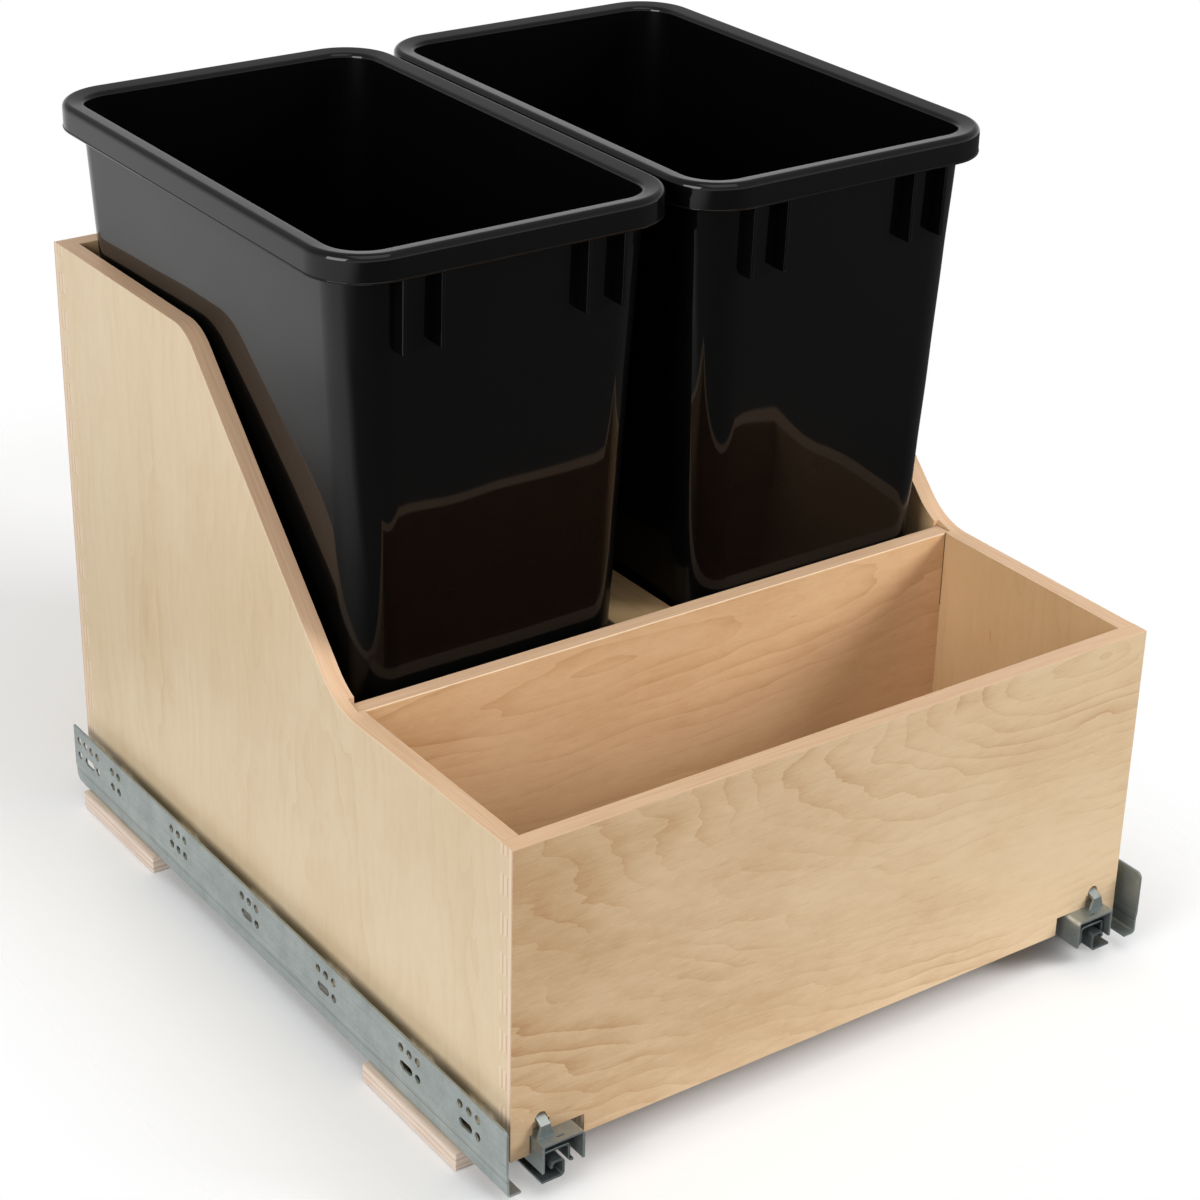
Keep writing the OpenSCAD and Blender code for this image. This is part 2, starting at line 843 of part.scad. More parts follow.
module drawer_member() {
    under = bottom_recess - sheet_t;
    difference() {
        union() {
            run([
                [member_u, member_low],
                [member_u, bottom_recess],
                [member_in_u, bottom_recess],
                [member_in_u, member_low],
                [member_in_u - sheet_t, member_low],
                [member_in_u - sheet_t, under],
                [member_u + sheet_t, under],
                [member_u + sheet_t, member_low]
            ], -member_back, member_front);
            hook();
        }
        span(member_in_u - 2 * sheet_t, member_in_u + cut, nose_d - window_back, nose_d + nose_w + window_front,
            lever_low - window_play, lever_top + window_play);
        span(plate_slot_u - plate_slot_w / 2, plate_slot_u + plate_slot_w / 2,
            plate_slot_d, plate_slot_d + plate_slot_l, under - cut, bottom_recess + cut);
    }
}

module drawer_member_right() {
    color(zinc) drawer_member();
}

module drawer_member_left() {
    color(zinc) left() drawer_member();
}

// Roller cages: a strip with one window for each roller
module roller_places(start) {
    for (k = [0 : roller_count - 1])
        translate([0, -start - (k + 0.5) * roller_pitch, 0]) children();
}

module cage(u0, u1, start, z, thickness, roller_len, roller_r) {
    middle = (u0 + u1) / 2;
    half = roller_len / 2 + window_gap;
    slot = roller_r + window_gap;
    difference() {
        span(u0, u1, start, start + cage_len, z - thickness / 2, z + thickness / 2);
        roller_places(start)
            span(middle - half, middle + half, -slot, slot, z - thickness, z + thickness);
    }
}

module rollers(u0, u1, start, z, roller_len, roller_r) {
    middle = (u0 + u1) / 2;
    roller_places(start)
        bar(middle - roller_len / 2, middle + roller_len / 2, 0, z, 2 * roller_r);
}

lower_cage_z = channel_top + lower_run / 2;
upper_cage_z = middle_top + upper_run / 2;
upper_cage_u = [middle_u + upper_cage_side, middle_in_u - upper_cage_side];

module lower_cage() {
    cage(lip_start_u, channel_in_u, lower_cage_d, lower_cage_z, lower_cage_t, lower_roller_len, lower_roller_r);
}

module lower_rollers() {
    rollers(lip_start_u, channel_in_u, lower_cage_d, lower_cage_z, lower_roller_len, lower_roller_r);
}

module upper_cage() {
    cage(upper_cage_u[0], upper_cage_u[1], upper_cage_d, upper_cage_z, upper_cage_t, upper_roller_len,
        upper_roller_r);
}

module upper_rollers() {
    rollers(upper_cage_u[0], upper_cage_u[1], upper_cage_d, upper_cage_z, upper_roller_len, upper_roller_r);
}

module lower_cage_right() {
    color(white_plastic) lower_cage();
}

module lower_cage_left() {
    color(white_plastic) left() lower_cage();
}

module lower_rollers_right() {
    color(grey_plastic) lower_rollers();
}

module lower_rollers_left() {
    color(grey_plastic) left() lower_rollers();
}

module upper_cage_right() {
    color(white_plastic) upper_cage();
}

module upper_cage_left() {
    color(white_plastic) left() upper_cage();
}

module upper_rollers_right() {
    color(grey_plastic) upper_rollers();
}

module upper_rollers_left() {
    color(grey_plastic) left() upper_rollers();
}

// Front clips and their release levers
clip_screw_tip = floor_z - screw_tip_gap;
module clip_screw_places() {
    for (u = [clip_u + clip_screw_edge, clip_u + clip_w - clip_screw_edge])
        translate([-u, -clip_screw_d, 0]) children();
}

module front_clip() {
    difference() {
        span(clip_u, clip_u + clip_w, clip_front - clip_len, clip_front, clip_low, bottom_recess);
        post(pivot_u, pivot_at, clip_low - cut, bottom_recess + cut, pivot_d + 2 * shank_gap);
        clip_screw_places() post(0, 0, clip_low - cut, bottom_recess + cut, screw_d + 2 * shank_gap);
    }
}

module front_clip_right() {
    color(grey_plastic) front_clip();
}

module front_clip_left() {
    color(grey_plastic) left() front_clip();
}

module release_lever() {
    edge = [pivot_u - lever_w / 2, pivot_u + lever_w / 2];
    difference() {
        union() {
            span(edge[0], edge[1], pivot_at - lever_tail, lever_front, lever_low, lever_top);
            span(nose_tip_u, edge[0] + cut, nose_d, nose_d + nose_w, lever_low, lever_top);
            span(edge[0], edge[1], lever_front - finger_len, lever_front, lever_low - finger_drop, lever_top);
        }
        post(pivot_u, pivot_at, lever_low - cut, lever_top + cut, pivot_d + 2 * pivot_gap);
    }
}

module release_lever_right() {
    color(black_plastic) release_lever();
}

module release_lever_left() {
    color(black_plastic) left() release_lever();
}

module lever_pivots() {
    head_top = lever_low - lever_gap;
    color(dark_zinc)
        both() {
            post(pivot_u, pivot_at, head_top - pivot_head_t / 2, bottom_recess - shank_gap, pivot_d);
            post(pivot_u, pivot_at, head_top - pivot_head_t, head_top, pivot_head_d);
        }
}

// A cross recess in a screw head whose face is at z, cut upward by step
module cross(z, step) {
    for (a = [0, 90])
        translate([px(0), py(0), pz(z)])
            rotate(a)
                cube([recess_len, recess_w, 2 * abs(step)], center = true);
}

module clip_screws() {
    head_low = clip_low - screw_head_t;
    color(dark_zinc)
        both()
            clip_screw_places()
                difference() {
                    union() {
                        post(0, 0, clip_low - screw_head_t / 2, clip_screw_tip, screw_d);
                        post(0, 0, head_low, clip_low, screw_head_d);
                    }
                    cross(head_low, screw_head_t / 2);
                }
}

// Spacer blocks
module block_screw_places() {
    for (d = block_middles, s = [-1, 1])
        translate([-block_screw_u, -d - s * block_screw_pitch / 2, 0]) children();
}

block_screw_tip = -z_box + screw_tip_gap;
module spacer_block(n) {
    difference() {
        span(block_u, block_u + block_w, block_starts[n], block_starts[n] + block_len, -z_box, slide_floor);
        block_screw_places() post(0, 0, block_screw_tip, slide_floor + cut, screw_d + 2 * shank_gap);
    }
}

module block_back_right() {
    color(pale_wood) spacer_block(0);
}

module block_back_left() {
    color(pale_wood) left() spacer_block(0);
}

module block_front_right() {
    color(pale_wood) spacer_block(1);
}

module block_front_left() {
    color(pale_wood) left() spacer_block(1);
}

module block_screws() {
    head_low = slide_floor + sheet_t;
    color(dark_zinc)
        both()
            block_screw_places()
                difference() {
                    union() {
                        post(0, 0, block_screw_tip, head_low + screw_head_t / 2, screw_d);
                        post(0, 0, head_low, head_low + screw_head_t, screw_head_d);
                    }
                    cross(head_low + screw_head_t, screw_head_t / 2);
                }
}

side_panel_left();
side_panel_right();
front_panel();
back_panel();
divider();
bottom_panel();
bin_spacer_rail();
bin_left();
bin_right();
cabinet_rail_left();
cabinet_rail_right();
fixed_channel_left();
fixed_channel_right();
rail_rivets();
middle_member_left();
middle_member_right();
drawer_member_left();
drawer_member_right();
lower_cage_left();
lower_cage_right();
lower_rollers_left();
lower_rollers_right();
upper_cage_left();
upper_cage_right();
upper_rollers_left();
upper_rollers_right();
front_clip_left();
front_clip_right();
release_lever_left();
release_lever_right();
lever_pivots();
clip_screws();
block_front_left();
block_front_right();
block_back_left();
block_back_right();
block_screws();
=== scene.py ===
"""Visual model of a pull-out bin frame: a dovetailed plywood box on undermount slides with two black bins."""

import json
import math
from itertools import product

import bmesh
import bpy
from bpy.props import FloatProperty, FloatVectorProperty, IntProperty, PointerProperty
from mathutils import Matrix, Quaternion, Vector, noise

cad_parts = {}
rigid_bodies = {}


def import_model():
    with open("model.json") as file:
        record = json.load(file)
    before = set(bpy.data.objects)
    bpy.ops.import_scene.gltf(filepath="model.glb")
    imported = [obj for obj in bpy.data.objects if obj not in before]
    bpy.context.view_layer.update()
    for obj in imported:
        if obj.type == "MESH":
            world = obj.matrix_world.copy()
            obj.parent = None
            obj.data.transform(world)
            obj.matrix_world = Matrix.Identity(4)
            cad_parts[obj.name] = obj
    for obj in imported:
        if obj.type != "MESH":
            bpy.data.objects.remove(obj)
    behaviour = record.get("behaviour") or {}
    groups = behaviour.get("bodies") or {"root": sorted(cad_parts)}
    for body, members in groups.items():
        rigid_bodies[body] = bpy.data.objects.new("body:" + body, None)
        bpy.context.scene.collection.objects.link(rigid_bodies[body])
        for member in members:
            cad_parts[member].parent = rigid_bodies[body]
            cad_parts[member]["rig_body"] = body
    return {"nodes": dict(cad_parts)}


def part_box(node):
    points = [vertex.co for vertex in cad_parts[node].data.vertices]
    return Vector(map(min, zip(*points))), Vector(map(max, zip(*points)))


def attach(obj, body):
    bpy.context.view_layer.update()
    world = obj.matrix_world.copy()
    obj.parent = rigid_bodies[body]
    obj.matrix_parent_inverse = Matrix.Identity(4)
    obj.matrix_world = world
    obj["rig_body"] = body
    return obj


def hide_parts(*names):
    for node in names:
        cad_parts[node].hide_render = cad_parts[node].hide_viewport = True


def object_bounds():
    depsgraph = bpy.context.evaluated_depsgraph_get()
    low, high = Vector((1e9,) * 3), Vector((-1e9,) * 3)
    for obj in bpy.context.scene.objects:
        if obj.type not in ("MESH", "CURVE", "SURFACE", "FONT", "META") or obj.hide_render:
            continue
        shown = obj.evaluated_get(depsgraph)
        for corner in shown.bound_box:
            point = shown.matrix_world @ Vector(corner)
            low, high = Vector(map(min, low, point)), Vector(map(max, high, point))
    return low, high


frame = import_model()
CAD_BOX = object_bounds()

bl_info = {
    "name": "Pull-out bin frame",
    "version": (1, 0, 0),
    "blender": (4, 5, 0),
    "location": "3D View > Sidebar > Bin frame",
    "description": "Dresses the packed bin frame with veneer, zinc and gloss black plastic",
    "category": "Object",
}

SIDES = ("left", "right")
LEVELS = ("lower", "upper")
X, Y, Z = range(3)
MM = 0.001
WELD = 0.002 * MM
COPLANAR = math.radians(0.6)
SHARP = math.radians(35)


def srgb(red, green, blue):
    """A colour as seen on screen, from 0 to 255, as the linear colour that Blender works in."""
    def linear(level):
        level = level / 255
        return level / 12.92 if level <= 0.04045 else ((level + 0.055) / 1.055) ** 2.4
    return (linear(red), linear(green), linear(blue))


def colour(name, description, *rgb):
    return FloatVectorProperty(name=name, description=description, default=srgb(*rgb), subtype="COLOR",
                               min=0, max=1)


def length(name, description, millimetres):
    return FloatProperty(name=name, description=description, default=millimetres * MM, unit="LENGTH",
                         precision=5)


def share(name, description, part):
    return FloatProperty(name=name, description=description, default=part, subtype="FACTOR", min=0, max=1)


class WoodFinish(bpy.types.PropertyGroup):
    """Colours of the plywood and softness of its edges"""
    side_light: colour("Side, light", "Pale veneer of the two sides", 223, 203, 171)
    side_dark: colour("Side, figure", "Figure in the veneer of the sides", 202, 173, 131)
    back_light: colour("Back, light", "Warm veneer of the back wall", 227, 200, 163)
    back_dark: colour("Back, figure", "Figure in the veneer of the back wall", 180, 135, 89)
    divider_light: colour("Divider, light", "Warm veneer of the divider", 231, 194, 151)
    divider_dark: colour("Divider, figure", "Figure in the veneer of the divider", 186, 134, 86)
    # Veneer of the inner boards, partly painted shade: darkened for the shadow that falls between the bins.
    inner_light_and_shade: colour("Inner boards, light", "Veneer of the bottom and the spacer rail", 182, 152, 112)
    inner_figure_and_shade: colour("Inner boards, figure", "Figure in the bottom and the spacer rail", 152, 117, 77)
    # Painted shade: the inner faces are tinted darker and warmer for the shade inside the box and the warm
    # light bounced off the wood.
    inside_shade_tint: colour("Inside tint", "Warmer tint of the faces that look into the box", 236, 217, 195)
    gum: colour("Gum flecks", "Rare orange flecks in the veneer", 196, 146, 84)
    edge: colour("Sanded edge", "Edges of the boards", 222, 187, 153)
    edge_dark: colour("Sanded edge, fibres", "Fibres in the edges of the boards", 208, 169, 133)
    end_grain: colour("End grain", "Dark plies at the ends of the pins", 205, 168, 145)
    end_light: colour("End grain, light", "Light plies at the ends of the pins", 227, 206, 177)
    block_light: colour("Block, light", "Faces of the spacer blocks", 215, 198, 180)
    block_dark: colour("Block, fibres", "Fibres in the faces of the spacer blocks", 194, 169, 148)
    block_edge: colour("Block edge, light", "Light plies of the spacer blocks", 218, 204, 190)
    block_edge_dark: colour("Block edge, dark", "Dark plies of the spacer blocks", 189, 162, 143)
    block_ply: length("Block plies", "A light and a dark ply of the spacer blocks together", 4.2)
    # Painted highlight: the arris colour lights the rounded edges of the boards as a highlight would.
    arris_highlight: colour("Arris", "Light line where a face meets an edge", 240, 222, 196)
    # Painted shade: the seam colour and its width and depth paint the shadow in the gap where the divider
    # enters its slots.
    seam: colour("Seam", "Dark line where the divider enters its slots", 84, 52, 30)
    seam_width: length("Seam width", "Width of the dark line at the divider's slots", 0.8)
    seam_depth: length("Seam depth", "How far the dark line runs down from the divider's top", 52)
    edge_round: length("Edge rounding", "Rounding of the open edges of the boards", 0.9)
    joint_round: length("Joint rounding", "Fine rounding of the edges in the joints", 0.2)


class BinForm(bpy.types.PropertyGroup):
    """Shape and finish of a bin"""
    lip_height: length("Lip height", "Height of the lip's skirt and top", 17)
    lip_over: length("Lip reach", "Reach of the lip over the wall", 11.5)
    lip_round: length("Lip rounding", "Rounding of the lip's outer top edge", 4)
    lip_bead: length("Lip bead", "Bead along the skirt's lower edge", 0.4)
    lip_top: length("Lip top", "Thickness of the lip's top", 3)
    crown_drop: length("Crown drop", "How much lower the lip's inner edge lies than its outer one", 1.2)
    lip_corner: length("Lip corner", "Corner radius of the lip", 37.5)
    skirt: length("Skirt", "Thickness of the lip's skirt", 2.5)
    draft: length("Draft", "How far a wall leans in from lip to floor", 17)
    wall_corner: length("Wall corner", "Corner radius of the wall at the lip", 30)
    foot_corner: length("Foot corner", "Corner radius of the wall at the floor", 24)
    floor_round: length("Floor rounding", "Rounding between wall and floor", 6)
    wall: length("Wall", "Thickness of wall and floor", 3)
    fin_thickness: length("Fin thickness", "Thickness of a fin below the lip", 2.6)
    fin_length: length("Fin length", "Length of a fin below the lip", 45.5)
    fin_depth: length("Fin depth", "Depth of a fin", 9.5)
    fin_round: length("Fin rounding", "Rounding of a fin's edges", 1)
    fin_pair: length("Fin pair", "Distance from the bin's middle to a pair of fins", 61)
    fin_pitch: length("Fin pitch", "Spacing of the two fins of a pair", 24.7)
    bow: length("Bow", "How far the middle of a long wall is drawn in", 6)
    ripple: length("Ripple", "Depth of the moulded walls' faint ripple", 0.4)
    ripple_size: length("Ripple size", "Spacing of the ripple", 52)
    ripple_clear: length("Ripple clear", "Distance from lip and foot over which the ripple fades out", 60)
    corner_steps: IntProperty(name="Corner steps", description="Faces round a corner", default=16, min=4)
    plastic: colour("Plastic", "Gloss black of the bins", 5, 5, 5)
    worn: colour("Worn plastic", "Dust and fine wear on the plastic", 22, 22, 22)
    polish_low: share("Lower polish", "Strength of the clear skin near the floor", 0.21)
    polish_rise: share("Added polish", "How much stronger the clear skin is near the lip", 0.41)
    polish_loss: share("Lost polish", "How much weaker the clear skin is on faces that look up", 0.14)
    polish_from: length("Polish from", "Height where the clear skin starts to gain strength", 180)
    polish_to: length("Polish to", "Height where the clear skin has its full strength", 360)


class MetalFinish(bpy.types.PropertyGroup):
    """Colours of the steel and the small plastic pieces"""
    zinc: colour("Zinc", "Zinc plate on the rails and drawer members", 174, 182, 181)
    zinc_dull: colour("Dull zinc", "Cloudy patches in the zinc plate", 146, 155, 154)
    dark_zinc: colour("Dark zinc", "Zinc plate on the inner members", 132, 140, 140)
    dark_zinc_dull: colour("Dull dark zinc", "Cloudy patches on the inner members", 92, 100, 101)
    screw: colour("Screw", "Steel of screws, rivets and pivots", 150, 152, 150)
    screw_dull: colour("Dull screw", "Dull patches on the screws", 104, 106, 106)
    white: colour("White nylon", "Nylon of the roller cages", 226, 225, 219)
    grey: colour("Grey nylon", "Nylon of the rollers", 112, 114, 116)
    clip: colour("Clip", "Plastic of the front clips", 92, 94, 97)
    lever: colour("Lever", "Plastic of the release levers", 24, 24, 25)
    cut_round: length("Cut rounding", "Rounding of the sheet steel's cut edges", 0.3)
    # Heights of the painted shade line and the painted highlight line along the rail's shallow fold.
    fold_low: length("Fold foot", "Height where the rail's shallow fold starts", 22.5)
    fold_high: length("Fold crest", "Height where the rail's shallow fold ends", 27)
    bend_round: length("Bend rounding", "Outer radius of the sheet steel's long bends", 3)
    sheet: length("Sheet", "Thickness of the sheet steel", 1.5)


class StageSettings(bpy.types.PropertyGroup):
    """Camera, lamps and floor"""
    camera_place: FloatVectorProperty(name="Camera", description="Place of the camera", size=3,
                                      default=(0.93125, 1.30822, 1.01870), subtype="TRANSLATION", precision=5)
    camera_aim: FloatVectorProperty(name="Aim", description="Point that the camera looks at", size=3,
                                    default=(-0.00574, 0.0, 0.20325), subtype="TRANSLATION", precision=5)
    camera_roll: FloatProperty(name="Roll", description="Turn of the camera about its line of sight",
                               default=math.radians(1.358), subtype="ANGLE")
    lens: FloatProperty(name="Lens", description="Focal length in millimetres on a 36 mm sensor",
                        default=84.1346, unit="CAMERA")
    shift_x: FloatProperty(name="Shift X", description="Sideways shift of the frame", default=0.000385,
                           precision=6)
    shift_y: FloatProperty(name="Shift Y", description="Upward shift of the frame", default=-0.001384,
                           precision=6)
    ambient: share("Ambient", "Strength of the even light from all round", 0.31)
    overhead: share("Overhead", "Share of white seen overhead in reflections", 0.5)
    floor: colour("Floor", "Pale floor", 240, 240, 240)
    floor_clear: length("Floor clear", "Distance from the frame over which the floor stays whole", 5)
    floor_fade: length("Floor fade", "Distance from the frame where the floor is gone", 190)
    floor_front: length("Floor in front", "How much farther the floor reaches for the pulled-out box", 500)
    # The dark card's colour; round the frame the card is painted shadow in reflections.
    card: colour("Dark card", "Dark card that the near walls of the bins reflect", 80, 80, 80)


class BinFrameSettings(bpy.types.PropertyGroup):
    """All settings of the bin frame"""
    wood: PointerProperty(type=WoodFinish, name="Wood", description="Plywood of the box")
    bin: PointerProperty(type=BinForm, name="Bins", description="Shape and plastic of the bins")
    metal: PointerProperty(type=MetalFinish, name="Metal", description="Steel and small plastic pieces")
    stage: PointerProperty(type=StageSettings, name="Stage", description="Camera, lamps and floor")


def settings():
    return bpy.context.scene.bin_frame


class Tone:
    """A shader value that takes part in Python arithmetic."""

    def __init__(self, net, socket):
        self.net = net
        self.socket = socket

    def __add__(self, other):
        return self.net.math("ADD", self, other)

    def __sub__(self, other):
        return self.net.math("SUBTRACT", self, other)

    def __rsub__(self, other):
        return self.net.math("SUBTRACT", other, self)

    def __mul__(self, other):
        return self.net.math("MULTIPLY", self, other)

    def __truediv__(self, other):
        return self.net.math("DIVIDE", self, other)

    def __pow__(self, other):
        return self.net.math("POWER", self, other)

    def __abs__(self):
        return self.net.math("ABSOLUTE", self)

    __radd__ = __add__
    __rmul__ = __mul__

    def fraction(self):
        return self.net.math("FRACT", self)

    def root(self):
        return self.net.math("SQRT", self)

    def step(self, low, high):
        """A soft step from 0 below low to 1 above high."""
        return self.net.node("ShaderNodeMapRange", {"interpolation_type": "SMOOTHSTEP"},
                             {"Value": self, "From Min": low, "From Max": high})


class Net:
    """A shader's nodes."""

    def __init__(self, tree):
        self.tree = tree

    def node(self, kind, choices, sockets, output=0):
        """Adds a node of a kind, makes its choices, fills its sockets and returns one output."""
        made = self.tree.nodes.new(kind)
        for key, value in choices.items():
            setattr(made, key, value)
        for key, value in sockets.items():
            self.feed(made.inputs[key], value)
        return Tone(self, made.outputs[output])

    def feed(self, socket, value):
        """Links a shader value to a socket, or sets a plain value on it."""
        if isinstance(value, Tone):
            self.tree.links.new(value.socket, socket)
        elif socket.type == "RGBA":
            socket.default_value = (*value[:3], 1)
        else:
            socket.default_value = value

    def math(self, operation, first, second=0.0):
        return self.node("ShaderNodeMath", {"operation": operation}, {0: first, 1: second})

    def vector(self, x, y, z):
        return self.node("ShaderNodeCombineXYZ", {}, {"X": x, "Y": y, "Z": z})

    def parts(self, vector):
        return [self.node("ShaderNodeSeparateXYZ", {}, {"Vector": vector}, output=axis) for axis in "XYZ"]

    def coordinates(self, kind):
        return self.node("ShaderNodeTexCoord", {}, {}, output=kind)

    def noise(self, vector, scale=1.0, detail=2.0, roughness=0.5):
        return self.node("ShaderNodeTexNoise", {}, {"Vector": vector, "Scale": scale, "Detail": detail,
                                                    "Roughness": roughness})

    def mix(self, factor, first, second, blend="MIX"):
        """A colour between two colours, or one tinted by the other."""
        return self.node("ShaderNodeMix", {"data_type": "RGBA", "blend_type": blend},
                         {0: factor, 6: first, 7: second}, output=2)


class Finish(Net):
    """A procedural material."""

    def __init__(self, name):
        self.material = bpy.data.materials.new(name)
        self.material.use_nodes = True
        super().__init__(self.material.node_tree)
        self.shader = self.tree.nodes["Principled BSDF"]
        self.point = self.coordinates("Object")
        self.axes = self.parts(self.point)

    def normal(self):
        """The three parts of the surface's normal."""
        return self.parts(self.coordinates("Normal"))

    def bump(self, height, strength, distance):
        return self.node("ShaderNodeBump", {}, {"Strength": strength, "Distance": distance, "Height": height})

    def finish(self, **sockets):
        """Fills the shader's sockets, whose spaces are written as underscores."""
        for key, value in sockets.items():
            self.feed(self.shader.inputs[key.replace("_", " ")], value)
        return self.material


def veneer(name, grain, through, light, dark, middle, reach, rings, contrast, wander, painted_light_slope=0.0, seam=None):
    """Clear-lacquered veneer with nested arcs of figure.

    grain and through are axes: the way the grain runs and the way through the board. middle is the heart of
    the figure along and across the grain, reach how far a ring stretches each way, rings how many there are.
    painted_light_slope is painted light: how much the veneer pales against the grain's direction, so that one
    end looks more lit. seam gives the distance from the middle and the height from which a board shows a
    painted shadow line in the gap where it enters a slot.
    """
    wood = settings().wood
    finish = Finish(name)
    along, across, depth = (finish.axes[axis] for axis in (grain, X + Y + Z - grain - through, through))
    facing = finish.normal()
    flat_on = abs(facing[through])

    def wood_noise(along_rate, across_rate, start=0, layer=0, detail=2, roughness=0.5):
        """Noise that is stretched along the grain. The rates count its waves to the metre."""
        place = finish.vector(along * along_rate + start, across * across_rate, depth + layer)
        return finish.noise(place, detail=detail, roughness=roughness)

    drift = wood_noise(8, 20, roughness=0.45) - 0.5
    teeth = wood_noise(22, 95) - 0.5
    from_heart = (along - middle[0]) / reach[0]
    beside_heart = (across - middle[1]) / reach[1]
    ring = (from_heart * from_heart + beside_heart * beside_heart).root()
    uneven = finish.noise(finish.vector(ring * 3, 0.5, 0.5), detail=1) * 0.2
    year = (ring + uneven + drift * wander + teeth * wander * 0.24) * rings
    patch = wood_noise(9, 26, start=4).step(0.30, 0.66)
    by_ring = finish.noise(finish.vector(ring * 4.5, 3.5, 0.5), detail=0)
    strength = (by_ring * 1.3 + 0.1) * (patch * 1.3 + 0.2)
    line = year.fraction() ** 4 * strength
    late = year.fraction() * strength * 0.4
    cloud = wood_noise(6, 16, detail=4, roughness=0.62)
    mottle = wood_noise(70, 190, detail=3, roughness=0.6)
    fibre = wood_noise(25, 900, roughness=0.7)
    fleck = wood_noise(260, 1300, detail=1).step(0.62, 0.80)
    pore = wood_noise(90, 1500, start=7, detail=0).step(0.68, 0.80)
    # along times the slope is painted light: the veneer pales towards one end of the board.
    grown = (line * 0.55 + late) * contrast + (cloud - 0.5) * 0.9 + (mottle - 0.5) * 0.3 + along * painted_light_slope
    figure = grown + (fibre - 0.5) * 0.2 + pore * 0.16 - fleck * 0.2 + 0.12
    face = finish.mix(figure.step(-0.25, 1.0), light, dark)
    gum = wood_noise(26, 120, layer=3).step(0.75, 0.82)
    face = finish.mix(gum * 0.6, face, wood.gum)
    # Painted shade: faces that look into the box get a darker, warmer tint for the shade and bounced light
    # inside it.
    inside_shade = 1 - (facing[through] * depth / MM).step(-40, 0)
    face = finish.mix(inside_shade, face, wood.inside_shade_tint, blend="MULTIPLY")

    streak = finish.noise(finish.vector(along * 18, across * 18, depth * 650), detail=3, roughness=0.6)
    edge_face = finish.mix(streak.step(0.3, 0.8), wood.edge, wood.edge_dark)
    plies = ((depth + streak * 0.8 * MM) * 235).fraction().step(0.15, 0.42)
    end_face = finish.mix(plies, wood.end_grain, wood.end_light)
    on_end = abs(facing[X]).step(0.6, 0.8) if grain == X else 0.0
    on_edge = 1 - flat_on.step(0.45, 0.62)
    coloured = finish.mix(on_edge, face, finish.mix(on_end, edge_face, end_face))
    # Painted highlight along the rounded edges of the boards.
    on_arris_highlight = (flat_on * (1 - flat_on)).step(0.15, 0.22)
    coloured = finish.mix(on_arris_highlight * 0.7, coloured, wood.arris_highlight)
    # Painted shadow in the gap where the board enters its slot.
    if seam:
        slot, foot = seam
        in_seam_shadow = abs(along).step(slot, slot + 0.2 * MM) * across.step(foot - MM, foot) * (1 - on_edge)
        coloured = finish.mix(in_seam_shadow, coloured, wood.seam)
    rough = 0.42 + (fibre - 0.5) * 0.16 + on_edge * 0.12
    relief = finish.bump(fibre + pore * -0.8, 0.12, 0.1 * MM)
    return finish.finish(Base_Color=coloured, Roughness=rough, Normal=relief, Coat_Weight=0.10,
                         Coat_Roughness=0.35)


def block_plywood():
    """Pinkish plywood with its plies showing on every edge."""
    wood = settings().wood
    finish = Finish("block_plywood")
    x, y, z = finish.axes
    facing = finish.normal()
    ply = (z / wood.block_ply).fraction().step(0.5, 0.7)
    streak = finish.noise(finish.vector(x * 30, y * 30, z * 900), detail=2)
    fibre = finish.noise(finish.vector(x * 420, y * 26, z), detail=3, roughness=0.65)
    face = finish.mix(fibre.step(0.3, 0.8), wood.block_light, wood.block_dark)
    edge = finish.mix((ply * 0.3 + streak * 0.8).step(0.15, 1.0), wood.block_edge, wood.block_edge_dark)
    on_edge = 1 - abs(facing[Z]).step(0.5, 0.8)
    return finish.finish(Base_Color=finish.mix(on_edge, face, edge), Roughness=0.62 + (fibre - 0.5) * 0.2,
                         Normal=finish.bump(fibre + streak, 0.3, 0.2 * MM))


def gloss_plastic():
    """Gloss black moulded plastic: a clear skin over a duller body, with fine rub marks and dust."""
    form = settings().bin
    finish = Finish("gloss_black_plastic")
    x, y, z = finish.axes
    facing = finish.normal()
    grain = finish.noise(finish.point, scale=900, detail=1)
    rub = finish.noise(finish.vector(x * 300, y * 300, z * 12), detail=3, roughness=0.7).step(0.62, 0.85)
    dust = finish.noise(finish.point, scale=420, detail=2).step(0.70, 0.78)
    tone = finish.mix(rub * 0.3 + dust * 0.25, form.plastic, form.worn)
    upward = facing[Z].step(0.35, 0.8)
    relief = finish.bump(grain, 0.1, 0.01 * MM)
    gain = z.step(form.polish_from, form.polish_to) * form.polish_rise
    polish = form.polish_low + gain - upward * form.polish_loss
    return finish.finish(Base_Color=tone, Roughness=0.34 + rub * 0.08, Normal=relief, IOR=1.13,
                         Coat_Weight=polish, Coat_Roughness=0.04, Coat_IOR=1.5)


